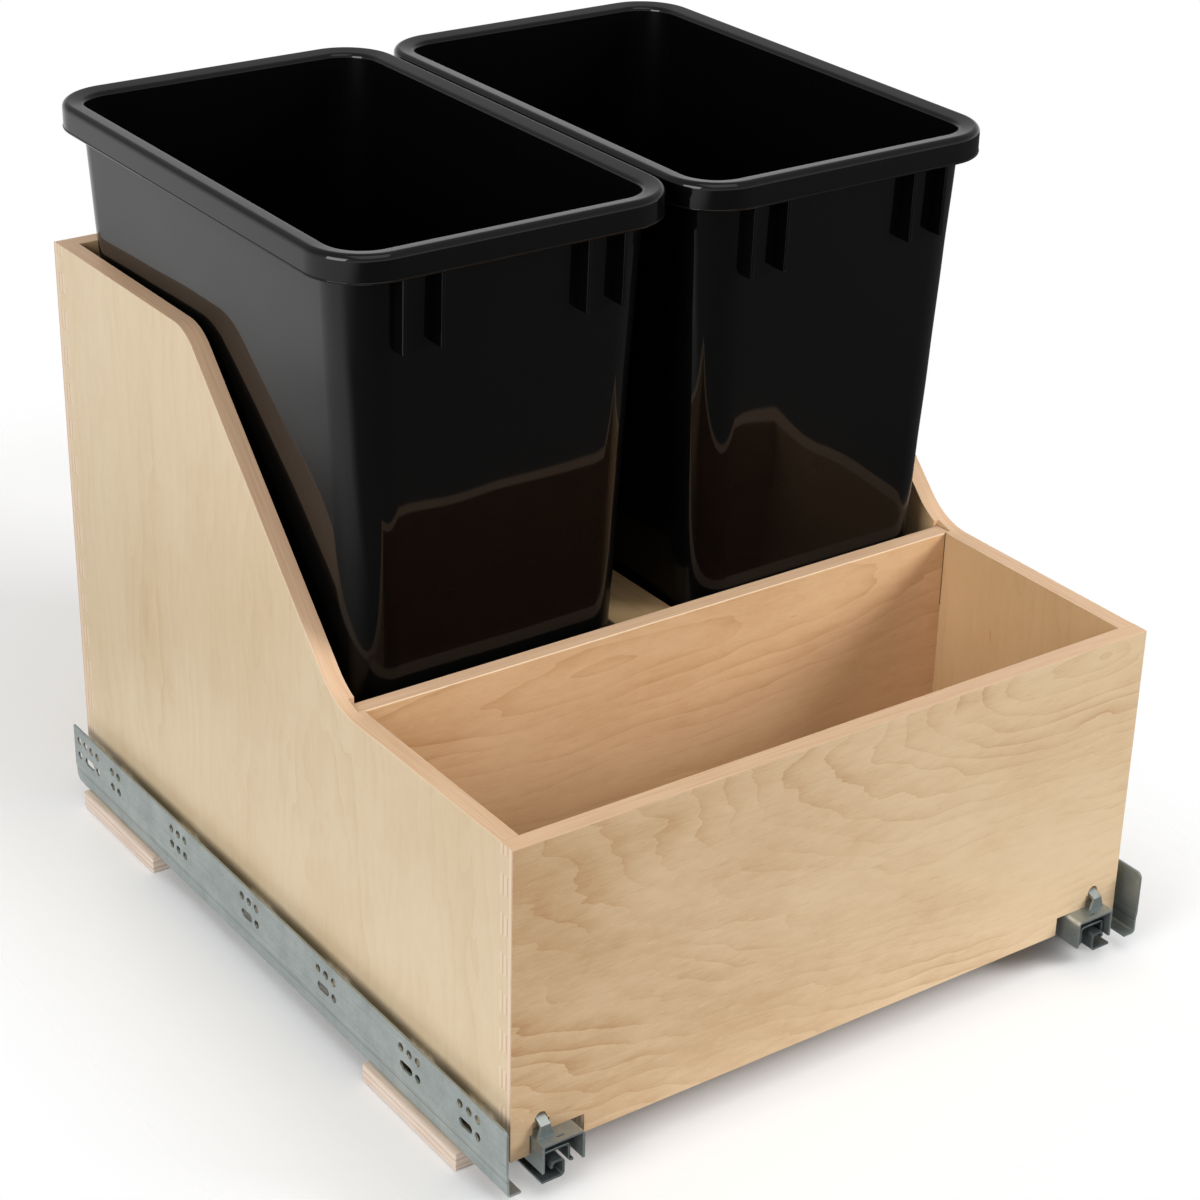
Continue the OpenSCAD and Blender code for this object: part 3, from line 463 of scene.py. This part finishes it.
def plated(name, bright, dull, rough, fold=None):
    """Zinc plate: cloudy, with fine rolling marks along the rail.

    fold gives the heights of a shallow fold along the rail: a painted shade line runs along its foot and a
    painted highlight along its crest. A piece without a fold has its cut edges painted bright, partly as wear
    and partly as a painted highlight.
    """
    finish = Finish(name)
    x, y, z = finish.axes
    cloud = finish.noise(finish.point, scale=55, detail=4, roughness=0.6)
    spangle = finish.noise(finish.point, scale=420, detail=1)
    rolled = finish.noise(finish.vector(x * 700, y * 18, z * 700), detail=2)
    tone = finish.mix((cloud * 0.7 + spangle * 0.25 + rolled * 0.3).step(0.3, 0.95), bright, dull)
    if fold:
        # Painted shade along the fold's foot and a painted highlight along its crest.
        foot, crest = (1 - (abs(z - height) / MM).step(0.1, 0.8) for height in fold)
        tone = finish.mix(foot * 0.6, tone, tuple(channel * 0.5 for channel in dull))
        tone = finish.mix(crest * 0.35, tone, tuple(min(1, channel * 1.3) for channel in bright))
    else:
        across, along, up = (abs(part) for part in finish.normal())
        # Painted highlight on the bevelled cut edges, in patches, partly also wear that rubs them bright.
        rubbed_edge_highlight = (across * along + along * up + up * across).step(0.30, 0.44) * cloud.step(0.3, 0.5)
        tone = finish.mix(rubbed_edge_highlight * 0.6, tone, tuple(min(1, channel * 2) for channel in bright))
    wear = rough + (cloud - 0.5) * 0.22 + (rolled - 0.5) * 0.12
    return finish.finish(Base_Color=tone, Metallic=0.82, Roughness=wear,
                         Normal=finish.bump(rolled + spangle, 0.08, 0.1 * MM))


def moulded(name, tint, rough):
    """Plain moulded nylon with a fine spark-eroded texture."""
    finish = Finish(name)
    texture = finish.noise(finish.point, scale=1600, detail=2)
    cloud = finish.noise(finish.point, scale=60, detail=2)
    shade = tuple(channel * 0.78 for channel in tint)
    tone = finish.mix((cloud * 0.7 + texture * 0.3).step(0.3, 0.8), tint, shade)
    return finish.finish(Base_Color=tone, Roughness=rough + (cloud - 0.5) * 0.12,
                         Normal=finish.bump(texture, 0.12, 0.1 * MM))


def paint(nodes, material):
    """Gives CAD nodes a material."""
    for node in nodes:
        mesh = frame["nodes"][node].data
        mesh.materials.clear()
        mesh.materials.append(material)


def seat(mesh, name, node, material, crease=50):
    """Puts a finished mesh in the scene in place of a CAD node, on the node's own body.

    Edges that turn by more than crease degrees stay sharp to the eye.
    """
    piece = bpy.data.objects.new(name, mesh)
    bpy.context.scene.collection.objects.link(piece)
    mesh.materials.append(material)
    mesh.polygons.foreach_set("use_smooth", [True] * len(mesh.polygons))
    mesh.set_sharp_from_angle(angle=math.radians(crease))
    weighted = piece.modifiers.new("Weighted normals", "WEIGHTED_NORMAL")
    weighted.keep_sharp = True
    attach(piece, frame["nodes"][node]["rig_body"])
    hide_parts(node)


def merged_copy(node):
    """A bmesh of a CAD node with its triangles joined into whole faces."""
    mesh = bmesh.new()
    mesh.from_mesh(frame["nodes"][node].data)
    bmesh.ops.remove_doubles(mesh, verts=mesh.verts, dist=WELD)
    bmesh.ops.dissolve_limit(mesh, angle_limit=COPLANAR, use_dissolve_boundaries=False,
                             verts=mesh.verts, edges=mesh.edges)
    return mesh


def round_edges(mesh, width, wanted, segments=2):
    """Rounds the sharp edges that wanted picks."""
    sharp = [edge for edge in mesh.edges
             if edge.is_manifold and edge.calc_face_angle() > SHARP and wanted(edge)]
    bmesh.ops.bevel(mesh, geom=sharp, offset=width, offset_type="OFFSET", segments=segments, profile=0.5,
                    affect="EDGES", clamp_overlap=True, material=-1)


def long_bend(edge):
    """Whether an edge is a bend that runs the slide's length, rather than a cut edge.

    A bend has a face wider than the sheet's thickness on either side.
    """
    start, end = (vertex.co for vertex in edge.verts)
    run = (end - start).normalized()
    reach = [max((vertex.co - start).cross(run).length for vertex in face.verts) for face in edge.link_faces]
    return abs(run.y) > 0.95 and min(reach) > 2 * settings().metal.sheet


def mirrored(mesh):
    """Turns a right-hand piece into the left-hand one."""
    bmesh.ops.scale(mesh, verts=mesh.verts, vec=(-1, 1, 1))
    bmesh.ops.reverse_faces(mesh, faces=mesh.faces)


def to_mesh(mesh, name):
    """Turns a bmesh into a mesh and frees it."""
    finished = bpy.data.meshes.new(name)
    mesh.to_mesh(finished)
    mesh.free()
    return finished


class BINFRAME_OT_panels(bpy.types.Operator):
    """Makes the plywood boards of the box with softened edges and veneer"""
    bl_idname = "binframe.panels"
    bl_label = "Plywood box"

    joint_zone = 13 * MM
    flat_on = 0.9
    tilted_up = 0.3

    def board(self, node, slot, through, material):
        """One board: open edges well rounded, edges in the joints only eased."""
        wood = settings().wood
        low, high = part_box(node)
        mesh = merged_copy(node)
        ends = Y if through == X else X

        def open_edge(edge):
            faces = edge.link_faces
            meets_face = any(abs(face.normal[through]) > self.flat_on for face in faces)
            faces_up = any(face.normal.z > self.tilted_up for face in faces)
            middle = (edge.verts[0].co + edge.verts[1].co) / 2
            from_end = min(middle[ends] - low[ends], high[ends] - middle[ends])
            at_top = middle.z > high.z - MM
            return meets_face and faces_up and (from_end > self.joint_zone or at_top or through == Z)

        round_edges(mesh, wood.edge_round, open_edge)
        round_edges(mesh, wood.joint_round, lambda edge: True, segments=1)
        seat(to_mesh(mesh, node + "_board"), node + "_board", node, material)

    def execute(self, context):
        wood = settings().wood
        side = veneer("side_veneer", Z, X, wood.side_light, wood.side_dark, middle=(0.06, 0.06),
                      reach=(0.55, 0.12), rings=9, contrast=0.24, wander=0.5)
        # The back and the divider get painted light: their veneer pales towards one end.
        back = veneer("back_veneer", X, Y, wood.back_light, wood.back_dark, middle=(-0.20, 0.222),
                      reach=(0.30, 0.105), rings=11, contrast=0.28, wander=0.36, painted_light_slope=0.9)
        front = veneer("front_veneer", X, Y, wood.side_light, wood.side_dark, middle=(0.10, 0.20),
                       reach=(0.45, 0.10), rings=8, contrast=0.3, wander=0.4)
        # Place of the divider's painted shadow line at its slots.
        inner_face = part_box("side_panel_right")[0].x
        seam = (inner_face - wood.seam_width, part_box("divider")[1].z - wood.seam_depth)
        divider = veneer("divider_veneer", X, Y, wood.divider_light, wood.divider_dark, middle=(0.05, 0.21),
                         reach=(0.60, 0.07), rings=7, contrast=0.26, wander=0.40, painted_light_slope=0.2, seam=seam)
        # Painted shade: the inner boards' colours are darkened for the shadow between the bins.
        pale = veneer("inner_veneer", Y, Z, wood.inner_light_and_shade, wood.inner_figure_and_shade, middle=(0.05, 0.01),
                      reach=(0.20, 0.03), rings=2, contrast=0.3, wander=0.8)
        for hand in SIDES:
            self.board(f"side_panel_{hand}", "maple_panel", X, side)
        self.board("back_panel", "tan_panel", Y, back)
        self.board("front_panel", "maple_panel", Y, front)
        self.board("divider", "tan_panel", Y, divider)
        self.board("bottom_panel", "pale_panel", Z, pale)
        self.board("bin_spacer_rail", "pale_panel", Z, pale)
        return {"FINISHED"}


class BINFRAME_OT_blocks(bpy.types.Operator):
    """Makes the four plywood blocks under the rails"""
    bl_idname = "binframe.blocks"
    bl_label = "Spacer blocks"

    long_edge = 8 * MM

    def execute(self, context):
        edge_round = settings().wood.edge_round
        plywood = block_plywood()
        for end in ("front", "back"):
            for hand in SIDES:
                node = f"block_{end}_{hand}"
                mesh = merged_copy(node)
                round_edges(mesh, edge_round, lambda edge: edge.calc_length() > self.long_edge)
                seat(to_mesh(mesh, node + "_ply"), node + "_ply", node, plywood)
        return {"FINISHED"}


class BINFRAME_OT_bins(bpy.types.Operator):
    """Makes the two bins as smooth moulded shells with fins below the lip"""
    bl_idname = "binframe.bins"
    bl_label = "Bins"

    round_steps = 6
    outer_levels = (0.03, 0.25, 0.5, 0.75, 0.97)
    inner_levels = (0.97, 0.5, 0.05)
    level_cuts = 23
    upright_cuts = 11
    seed_step = 10

    def sections(self, height):
        """Outline of the bin's wall, from under the floor, over the lip and down to the inner floor.

        Each section is an inset from the lip's outline, a corner radius and a height above the bin's foot.
        """
        form = settings().bin
        wall_height = height - form.lip_height

        def lean(z):
            return form.lip_over + form.draft * (1 - z / wall_height)

        def corner(z):
            return form.wall_corner + (form.foot_corner - form.wall_corner) * max(0, 1 - z / wall_height)

        def arc(centre_inset, centre_z, radius, start, end, base_corner):
            """Points of a rounding: inset grows inward, z upward, angles from outward."""
            for step in range(self.round_steps + 1):
                angle = math.radians(start + (end - start) * step / self.round_steps)
                reach = radius * math.cos(angle)
                yield (centre_inset - reach, base_corner + reach, centre_z + radius * math.sin(angle))

        foot = form.floor_round
        shape = list(arc(lean(foot) + foot, foot, foot, -90, 0, form.foot_corner - foot))
        for level in self.outer_levels:
            z = foot + (wall_height - foot) * level
            shape.append((lean(z), corner(z), z))
        under = height - form.lip_top
        shape.append((lean(under), form.wall_corner, under))
        shape.append((form.skirt, form.lip_corner - form.skirt, under))
        edge = form.skirt / 2
        shape += list(arc(edge, wall_height + edge, edge, -180, 0, form.lip_corner - edge))
        bead = form.lip_bead
        shape += list(arc(bead, wall_height + edge, bead, 0, 90, form.lip_corner - bead))[1:]
        top = form.lip_round
        shape += list(arc(bead + top, height - top, top, 0, 90, form.lip_corner - bead - top))
        inner = lean(wall_height) + form.wall
        shape += list(arc(inner - form.wall, height - form.wall - form.crown_drop, form.wall, 90, 180,
                          form.lip_corner - inner + form.wall))
        for level in self.inner_levels:
            z = foot + (wall_height - foot) * level
            shape.append((lean(z) + form.wall, corner(z) - form.wall, z))
        hollow = form.wall + foot
        shape += list(arc(lean(hollow) + hollow, hollow, foot, 0, -90, form.foot_corner - hollow))
        return shape

    def outline(self, vertex, was, now):
        """Moves a vertex of one section's rounded outline to its place on the next section."""
        (old_w, old_d, old_r), (new_w, new_d, new_r, z) = was, now
        sign = Vector((math.copysign(1, vertex.co.x), math.copysign(1, vertex.co.y)))
        centre = Vector((sign.x * (old_w / 2 - old_r), sign.y * (old_d / 2 - old_r)))
        turn = (vertex.co.xy - centre) / old_r
        new_centre = Vector((sign.x * (new_w / 2 - new_r), sign.y * (new_d / 2 - new_r)))
        vertex.co = (*(new_centre + turn * new_r), z)

    def shell(self, width, depth, height):
        """Lofts the shell: a rounded floor whose rim is drawn out through every section."""
        form = settings().bin
        shape = self.sections(height)
        mesh = bmesh.new()
        first = shape[0]
        w, d, r = width - 2 * first[0], depth - 2 * first[0], first[1]
        bmesh.ops.create_grid(mesh, x_segments=1, y_segments=1, size=0.5)
        bmesh.ops.scale(mesh, verts=mesh.verts, vec=(w, d, 1))
        bmesh.ops.translate(mesh, verts=mesh.verts, vec=(0, 0, first[2]))
        bmesh.ops.bevel(mesh, geom=mesh.verts[:], offset=r, offset_type="OFFSET", segments=form.corner_steps,
                        profile=0.5, affect="VERTICES", clamp_overlap=False, material=-1)
        rim = [edge for edge in mesh.edges if edge.is_boundary]
        for inset, radius, z in shape[1:]:
            drawn = bmesh.ops.extrude_edge_only(mesh, edges=rim)["geom"]
            rim = [part for part in drawn if isinstance(part, bmesh.types.BMEdge)]
            verts = [part for part in drawn if isinstance(part, bmesh.types.BMVert)]
            next_w, next_d = width - 2 * inset, depth - 2 * inset
            for vertex in verts:
                self.outline(vertex, (w, d, r), (next_w, next_d, radius, z))
            w, d, r = next_w, next_d, radius
        bmesh.ops.contextual_create(mesh, geom=rim)
        bmesh.ops.recalc_face_normals(mesh, faces=mesh.faces)
        return mesh

    def settle(self, mesh, width, depth, height, seed):
        """Draws the long walls in and gives them the faint ripple that moulded plastic gets as it cools."""
        form = settings().bin
        wall_height = height - form.lip_height
        long = [edge for edge in mesh.edges if edge.calc_length() > form.ripple_size]
        level = [edge for edge in long if abs(edge.verts[0].co.z - edge.verts[1].co.z) < MM]
        bmesh.ops.subdivide_edges(mesh, edges=level, cuts=self.level_cuts)
        upright = [edge for edge in mesh.edges if edge.calc_length() > form.ripple_size]
        bmesh.ops.subdivide_edges(mesh, edges=upright, cuts=self.upright_cuts)
        mesh.normal_update()
        for vertex in mesh.verts:
            x, y, z = vertex.co
            fade = min(1, max(0, min(z, wall_height - z) / form.ripple_clear))
            swell = noise.noise(vertex.co / form.ripple_size + Vector((seed, 0, 0)))
            by_height = math.sin(math.pi * min(1, max(0, z / wall_height)))
            by_length = max(0, 1 - (2 * y / depth) ** 2)
            vertex.co += vertex.normal * swell * form.ripple * fade
            vertex.co.x -= 2 * x / width * form.bow * by_height * by_length

    def fins(self, mesh, depth, height):
        """Adds the thin fins that brace the lip at both short ends."""
        form = settings().bin
        wall_height = height - form.lip_height
        low = wall_height - form.fin_length
        top = height - form.lip_top / 2
        reach = form.fin_depth + form.wall / 2
        wall_face = depth / 2 - form.lip_over
        out = wall_face + form.fin_depth - reach / 2
        lean = form.draft * form.fin_length / wall_height
        for end, pair, member in product((-1, 1), repeat=3):
            fin = bmesh.ops.create_cube(mesh, size=1)["verts"]
            bmesh.ops.scale(mesh, verts=fin, vec=(form.fin_thickness, reach, top - low))
            sideways = pair * form.fin_pair + member * form.fin_pitch / 2
            bmesh.ops.translate(mesh, verts=fin, vec=(sideways, end * out, (top + low) / 2))
            for vertex in fin:
                if vertex.co.z < wall_height - MM:
                    vertex.co.y -= end * lean
            edges = dict.fromkeys(edge for vertex in fin for edge in vertex.link_edges
                                  if all(abs(v.co.y) > wall_face for v in edge.verts)
                                  or all(v.co.z < wall_height - MM for v in edge.verts))
            bmesh.ops.bevel(mesh, geom=list(edges), offset=form.fin_round, offset_type="OFFSET", segments=3,
                            profile=0.5, affect="EDGES", clamp_overlap=True, material=-1)

    def execute(self, context):
        plastic = gloss_plastic()
        for seed, hand in enumerate(SIDES):
            node = f"bin_{hand}"
            low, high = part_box(node)
            size = high - low
            mesh = self.shell(size.x, size.y, size.z)
            self.settle(mesh, size.x, size.y, size.z, seed * self.seed_step)
            self.fins(mesh, size.y, size.z)
            centre = ((low.x + high.x) / 2, (low.y + high.y) / 2, low.z)
            bmesh.ops.translate(mesh, verts=mesh.verts, vec=centre)
            seat(to_mesh(mesh, node + "_shell"), node + "_shell", node, plastic)
        return {"FINISHED"}


class BINFRAME_OT_slides(bpy.types.Operator):
    """Makes the rails and slide members with rounded sheet edges and zinc plate"""
    bl_idname = "binframe.slides"
    bl_label = "Slides"

    def execute(self, context):
        metal = settings().metal
        zinc = plated("zinc_plate", metal.zinc, metal.zinc_dull, 0.40)
        rail = plated("rail_zinc_plate", metal.zinc, metal.zinc_dull, 0.40,
                      fold=(metal.fold_low, metal.fold_high))
        dark = plated("dark_zinc_plate", metal.dark_zinc, metal.dark_zinc_dull, 0.42)
        for name, slot, plate in (("cabinet_rail", "zinc_steel", rail), ("drawer_member", "zinc_steel", zinc),
                                  ("middle_member", "dark_zinc_steel", dark),
                                  ("fixed_channel", "dark_zinc_steel", dark)):
            for hand in SIDES:
                node = f"{name}_{hand}"
                mesh = merged_copy(f"{name}_right")
                round_edges(mesh, metal.bend_round,
                            lambda edge: edge.is_convex and long_bend(edge), segments=6)
                round_edges(mesh, metal.bend_round - metal.sheet,
                            lambda edge: not edge.is_convex and long_bend(edge), segments=4)
                round_edges(mesh, metal.cut_round, lambda edge: True, segments=1)
                bmesh.ops.dissolve_degenerate(mesh, dist=WELD, edges=mesh.edges)
                if hand == "left":
                    mirrored(mesh)
                seat(to_mesh(mesh, node + "_plated"), node + "_plated", node, plate, crease=6)
        paint(["rail_rivets"], dark)
        return {"FINISHED"}


class BINFRAME_OT_running_gear(bpy.types.Operator):
    """Finishes the cages, rollers, clips, levers and fasteners"""
    bl_idname = "binframe.running_gear"
    bl_label = "Running gear"

    def execute(self, context):
        metal = settings().metal
        white = moulded("white_nylon", metal.white, 0.45)
        grey = moulded("grey_nylon", metal.grey, 0.5)
        paint([f"{level}_cage_{hand}" for level in LEVELS for hand in SIDES], white)
        paint([f"{level}_rollers_{hand}" for level in LEVELS for hand in SIDES], grey)
        paint([f"front_clip_{hand}" for hand in SIDES], moulded("grey_clip", metal.clip, 0.5))
        paint([f"release_lever_{hand}" for hand in SIDES], moulded("black_lever", metal.lever, 0.42))
        steel = plated("screw_steel", metal.screw, metal.screw_dull, 0.34)
        paint(["lever_pivots", "clip_screws", "block_screws"], steel)
        return {"FINISHED"}


class BINFRAME_OT_stage(bpy.types.Operator):
    """Sets up the camera, the lamps, the floor and the white surroundings"""
    bl_idname = "binframe.stage"
    bl_label = "Stage"

    middle = (0, 0, 0.2)
    beside = (0, 0.15, 0.2)
    lamps = (
        dict(name="right_softbox", place=(-2.0, 1.7, 1.35), aim=beside, size=1.0, power=62, reflected=False),
        dict(name="left_softbox", place=(2.6, 0.7, 1.25), aim=middle, size=1.6, power=56, reflected=True),
        dict(name="top_softbox", place=(0.2, 1.0, 2.8), aim=middle, size=2.0, power=18, reflected=True),
        dict(name="front_softbox", place=(0, -2.6, 1.1), aim=middle, size=1.6, power=30, reflected=False),
    )

    def camera(self, stage):
        """A camera at the photograph's place, with its small roll and shift."""
        data = bpy.data.cameras.new("camera")
        data.lens = stage.lens
        data.shift_x = stage.shift_x
        data.shift_y = stage.shift_y
        camera = bpy.data.objects.new("camera", data)
        bpy.context.scene.collection.objects.link(camera)
        place = Vector(stage.camera_place)
        sight = (Vector(stage.camera_aim) - place).to_track_quat("-Z", "Y")
        turn = sight @ Quaternion((0, 0, 1), stage.camera_roll)
        camera.matrix_world = Matrix.LocRotScale(place, turn, None)
        bpy.context.scene.camera = camera

    def lamp(self, name, place, aim, size, power, reflected):
        """A square lamp, which may stay out of the reflections."""
        data = bpy.data.lights.new(name, "AREA")
        data.size = size
        data.energy = power
        lamp = bpy.data.objects.new(name, data)
        bpy.context.scene.collection.objects.link(lamp)
        place = Vector(place)
        lamp.matrix_world = Matrix.LocRotScale(place, (Vector(aim) - place).to_track_quat("-Z", "Y"), None)
        if not reflected:
            lamp.visible_glossy = False

    def sheet(self, name, material, centre, size):
        """A flat square sheet that belongs to the stage."""
        mesh = bmesh.new()
        bmesh.ops.create_grid(mesh, x_segments=1, y_segments=1, size=0.5)
        bmesh.ops.scale(mesh, verts=mesh.verts, vec=(size, size, 1))
        bmesh.ops.translate(mesh, verts=mesh.verts, vec=centre)
        data = to_mesh(mesh, name)
        data.materials.append(material)
        sheet = bpy.data.objects.new(name, data)
        bpy.context.scene.collection.objects.link(sheet)
        return sheet

    def surroundings(self, stage):
        """White to the eye, darker overhead in reflections, and a softer even light on the object."""
        world = bpy.data.worlds.new("white_surroundings")
        bpy.context.scene.world = world
        world.use_nodes = True
        net = Net(world.node_tree)
        camera, glossy, through = [net.node("ShaderNodeLightPath", {}, {}, output=f"Is {ray} Ray")
                                   for ray in ("Camera", "Glossy", "Transmission")]
        height = net.parts(net.coordinates("Generated"))[Z]
        reflected = 1 - height.step(0.0, 0.35) * (1 - stage.overhead)
        seen = net.math("MAXIMUM", camera, through)
        level = stage.ambient + seen * (1 - stage.ambient) + glossy * (reflected - stage.ambient)
        background = world.node_tree.nodes["Background"]
        background.inputs["Color"].default_value = (1, 1, 1, 1)
        net.feed(background.inputs["Strength"], level)

    def away(self, finish, front=0.0):
        """Distance on the floor from the frame's footprint, which front makes longer at the front."""
        low, high = CAD_BOX
        x, y = finish.axes[:2]
        past_x = finish.math("MAXIMUM", abs(x) - high[X], 0.0)
        past_y = finish.math("MAXIMUM", finish.math("MAXIMUM", y - high[Y], low[Y] - front - y), 0.0)
        return (past_x * past_x + past_y * past_y).root()

    def floor(self, stage):
        """A pale floor that keeps the shadow near the frame and fades into the white farther out."""
        finish = Finish("pale_floor")
        whole = 1 - self.away(finish, stage.floor_front).step(stage.floor_clear, stage.floor_fade)
        pale = finish.finish(Base_Color=stage.floor, Roughness=0.9, Specular_IOR_Level=0.1, Alpha=whole)
        self.sheet("floor", pale, (0, 0, -0.5 * MM), 3)

    def dark_card(self, stage):
        """A dark card on the floor, behind, at the left and round the frame, that only reflections show.
        Round the frame it is
        painted shadow: the frame's shadow on the floor as the reflections see it.
        """
        finish = Finish("dark_card")
        x, y = finish.axes[:2]
        left = (1 - x.step(-0.5, -0.25)) * y.step(-1.3, -0.8)
        away = self.away(finish)
        clear = finish.math("MAXIMUM", 1 - x.step(0.2, 0.26), away.step(0.05, 0.2))
        behind = y.step(0.0, 0.4) * (1 - x.step(0.9, 1.5)) * clear
        # Painted shadow: the ring round the frame darkens the floor in reflections as the frame's shadow
        # would.
        near = away.step(0.08, 0.22) * (1 - away.step(0.25, 0.8))
        solid = finish.math("MAXIMUM", finish.math("MAXIMUM", behind, left), near)
        card = finish.finish(Base_Color=stage.card, Roughness=0.9, Specular_IOR_Level=0.1, Alpha=solid)
        sheet = self.sheet("dark_card", card, (-1, 1, 2 * MM), 7)
        sheet.visible_camera = False
        sheet.visible_diffuse = False
        sheet.visible_transmission = False
        sheet.visible_shadow = False

    def execute(self, context):
        stage = settings().stage
        context.scene.view_settings.view_transform = "Standard"
        self.camera(stage)
        self.surroundings(stage)
        for lamp in self.lamps:
            self.lamp(**lamp)
        self.floor(stage)
        self.dark_card(stage)
        return {"FINISHED"}


class BINFRAME_PT_sidebar(bpy.types.Panel):
    """Lists the steps that dress the bin frame"""
    bl_label = "Bin frame"
    bl_idname = "BINFRAME_PT_sidebar"
    bl_space_type = "VIEW_3D"
    bl_region_type = "UI"
    bl_category = "Bin frame"

    def draw(self, context):
        for step in STEPS:
            self.layout.operator(step.bl_idname, text=step.bl_label)


STEPS = (BINFRAME_OT_panels, BINFRAME_OT_blocks, BINFRAME_OT_bins, BINFRAME_OT_slides,
         BINFRAME_OT_running_gear, BINFRAME_OT_stage)
CLASSES = (WoodFinish, BinForm, MetalFinish, StageSettings, BinFrameSettings, *STEPS, BINFRAME_PT_sidebar)


def register():
    for cls in CLASSES:
        bpy.utils.register_class(cls)
    bpy.types.Scene.bin_frame = PointerProperty(type=BinFrameSettings)


def unregister():
    del bpy.types.Scene.bin_frame
    for cls in reversed(CLASSES):
        bpy.utils.unregister_class(cls)


def main():
    register()
    bpy.ops.binframe.panels()
    bpy.ops.binframe.blocks()
    bpy.ops.binframe.bins()
    bpy.ops.binframe.slides()
    bpy.ops.binframe.running_gear()
    bpy.ops.binframe.stage()


if __name__ == "__main__":
    main()
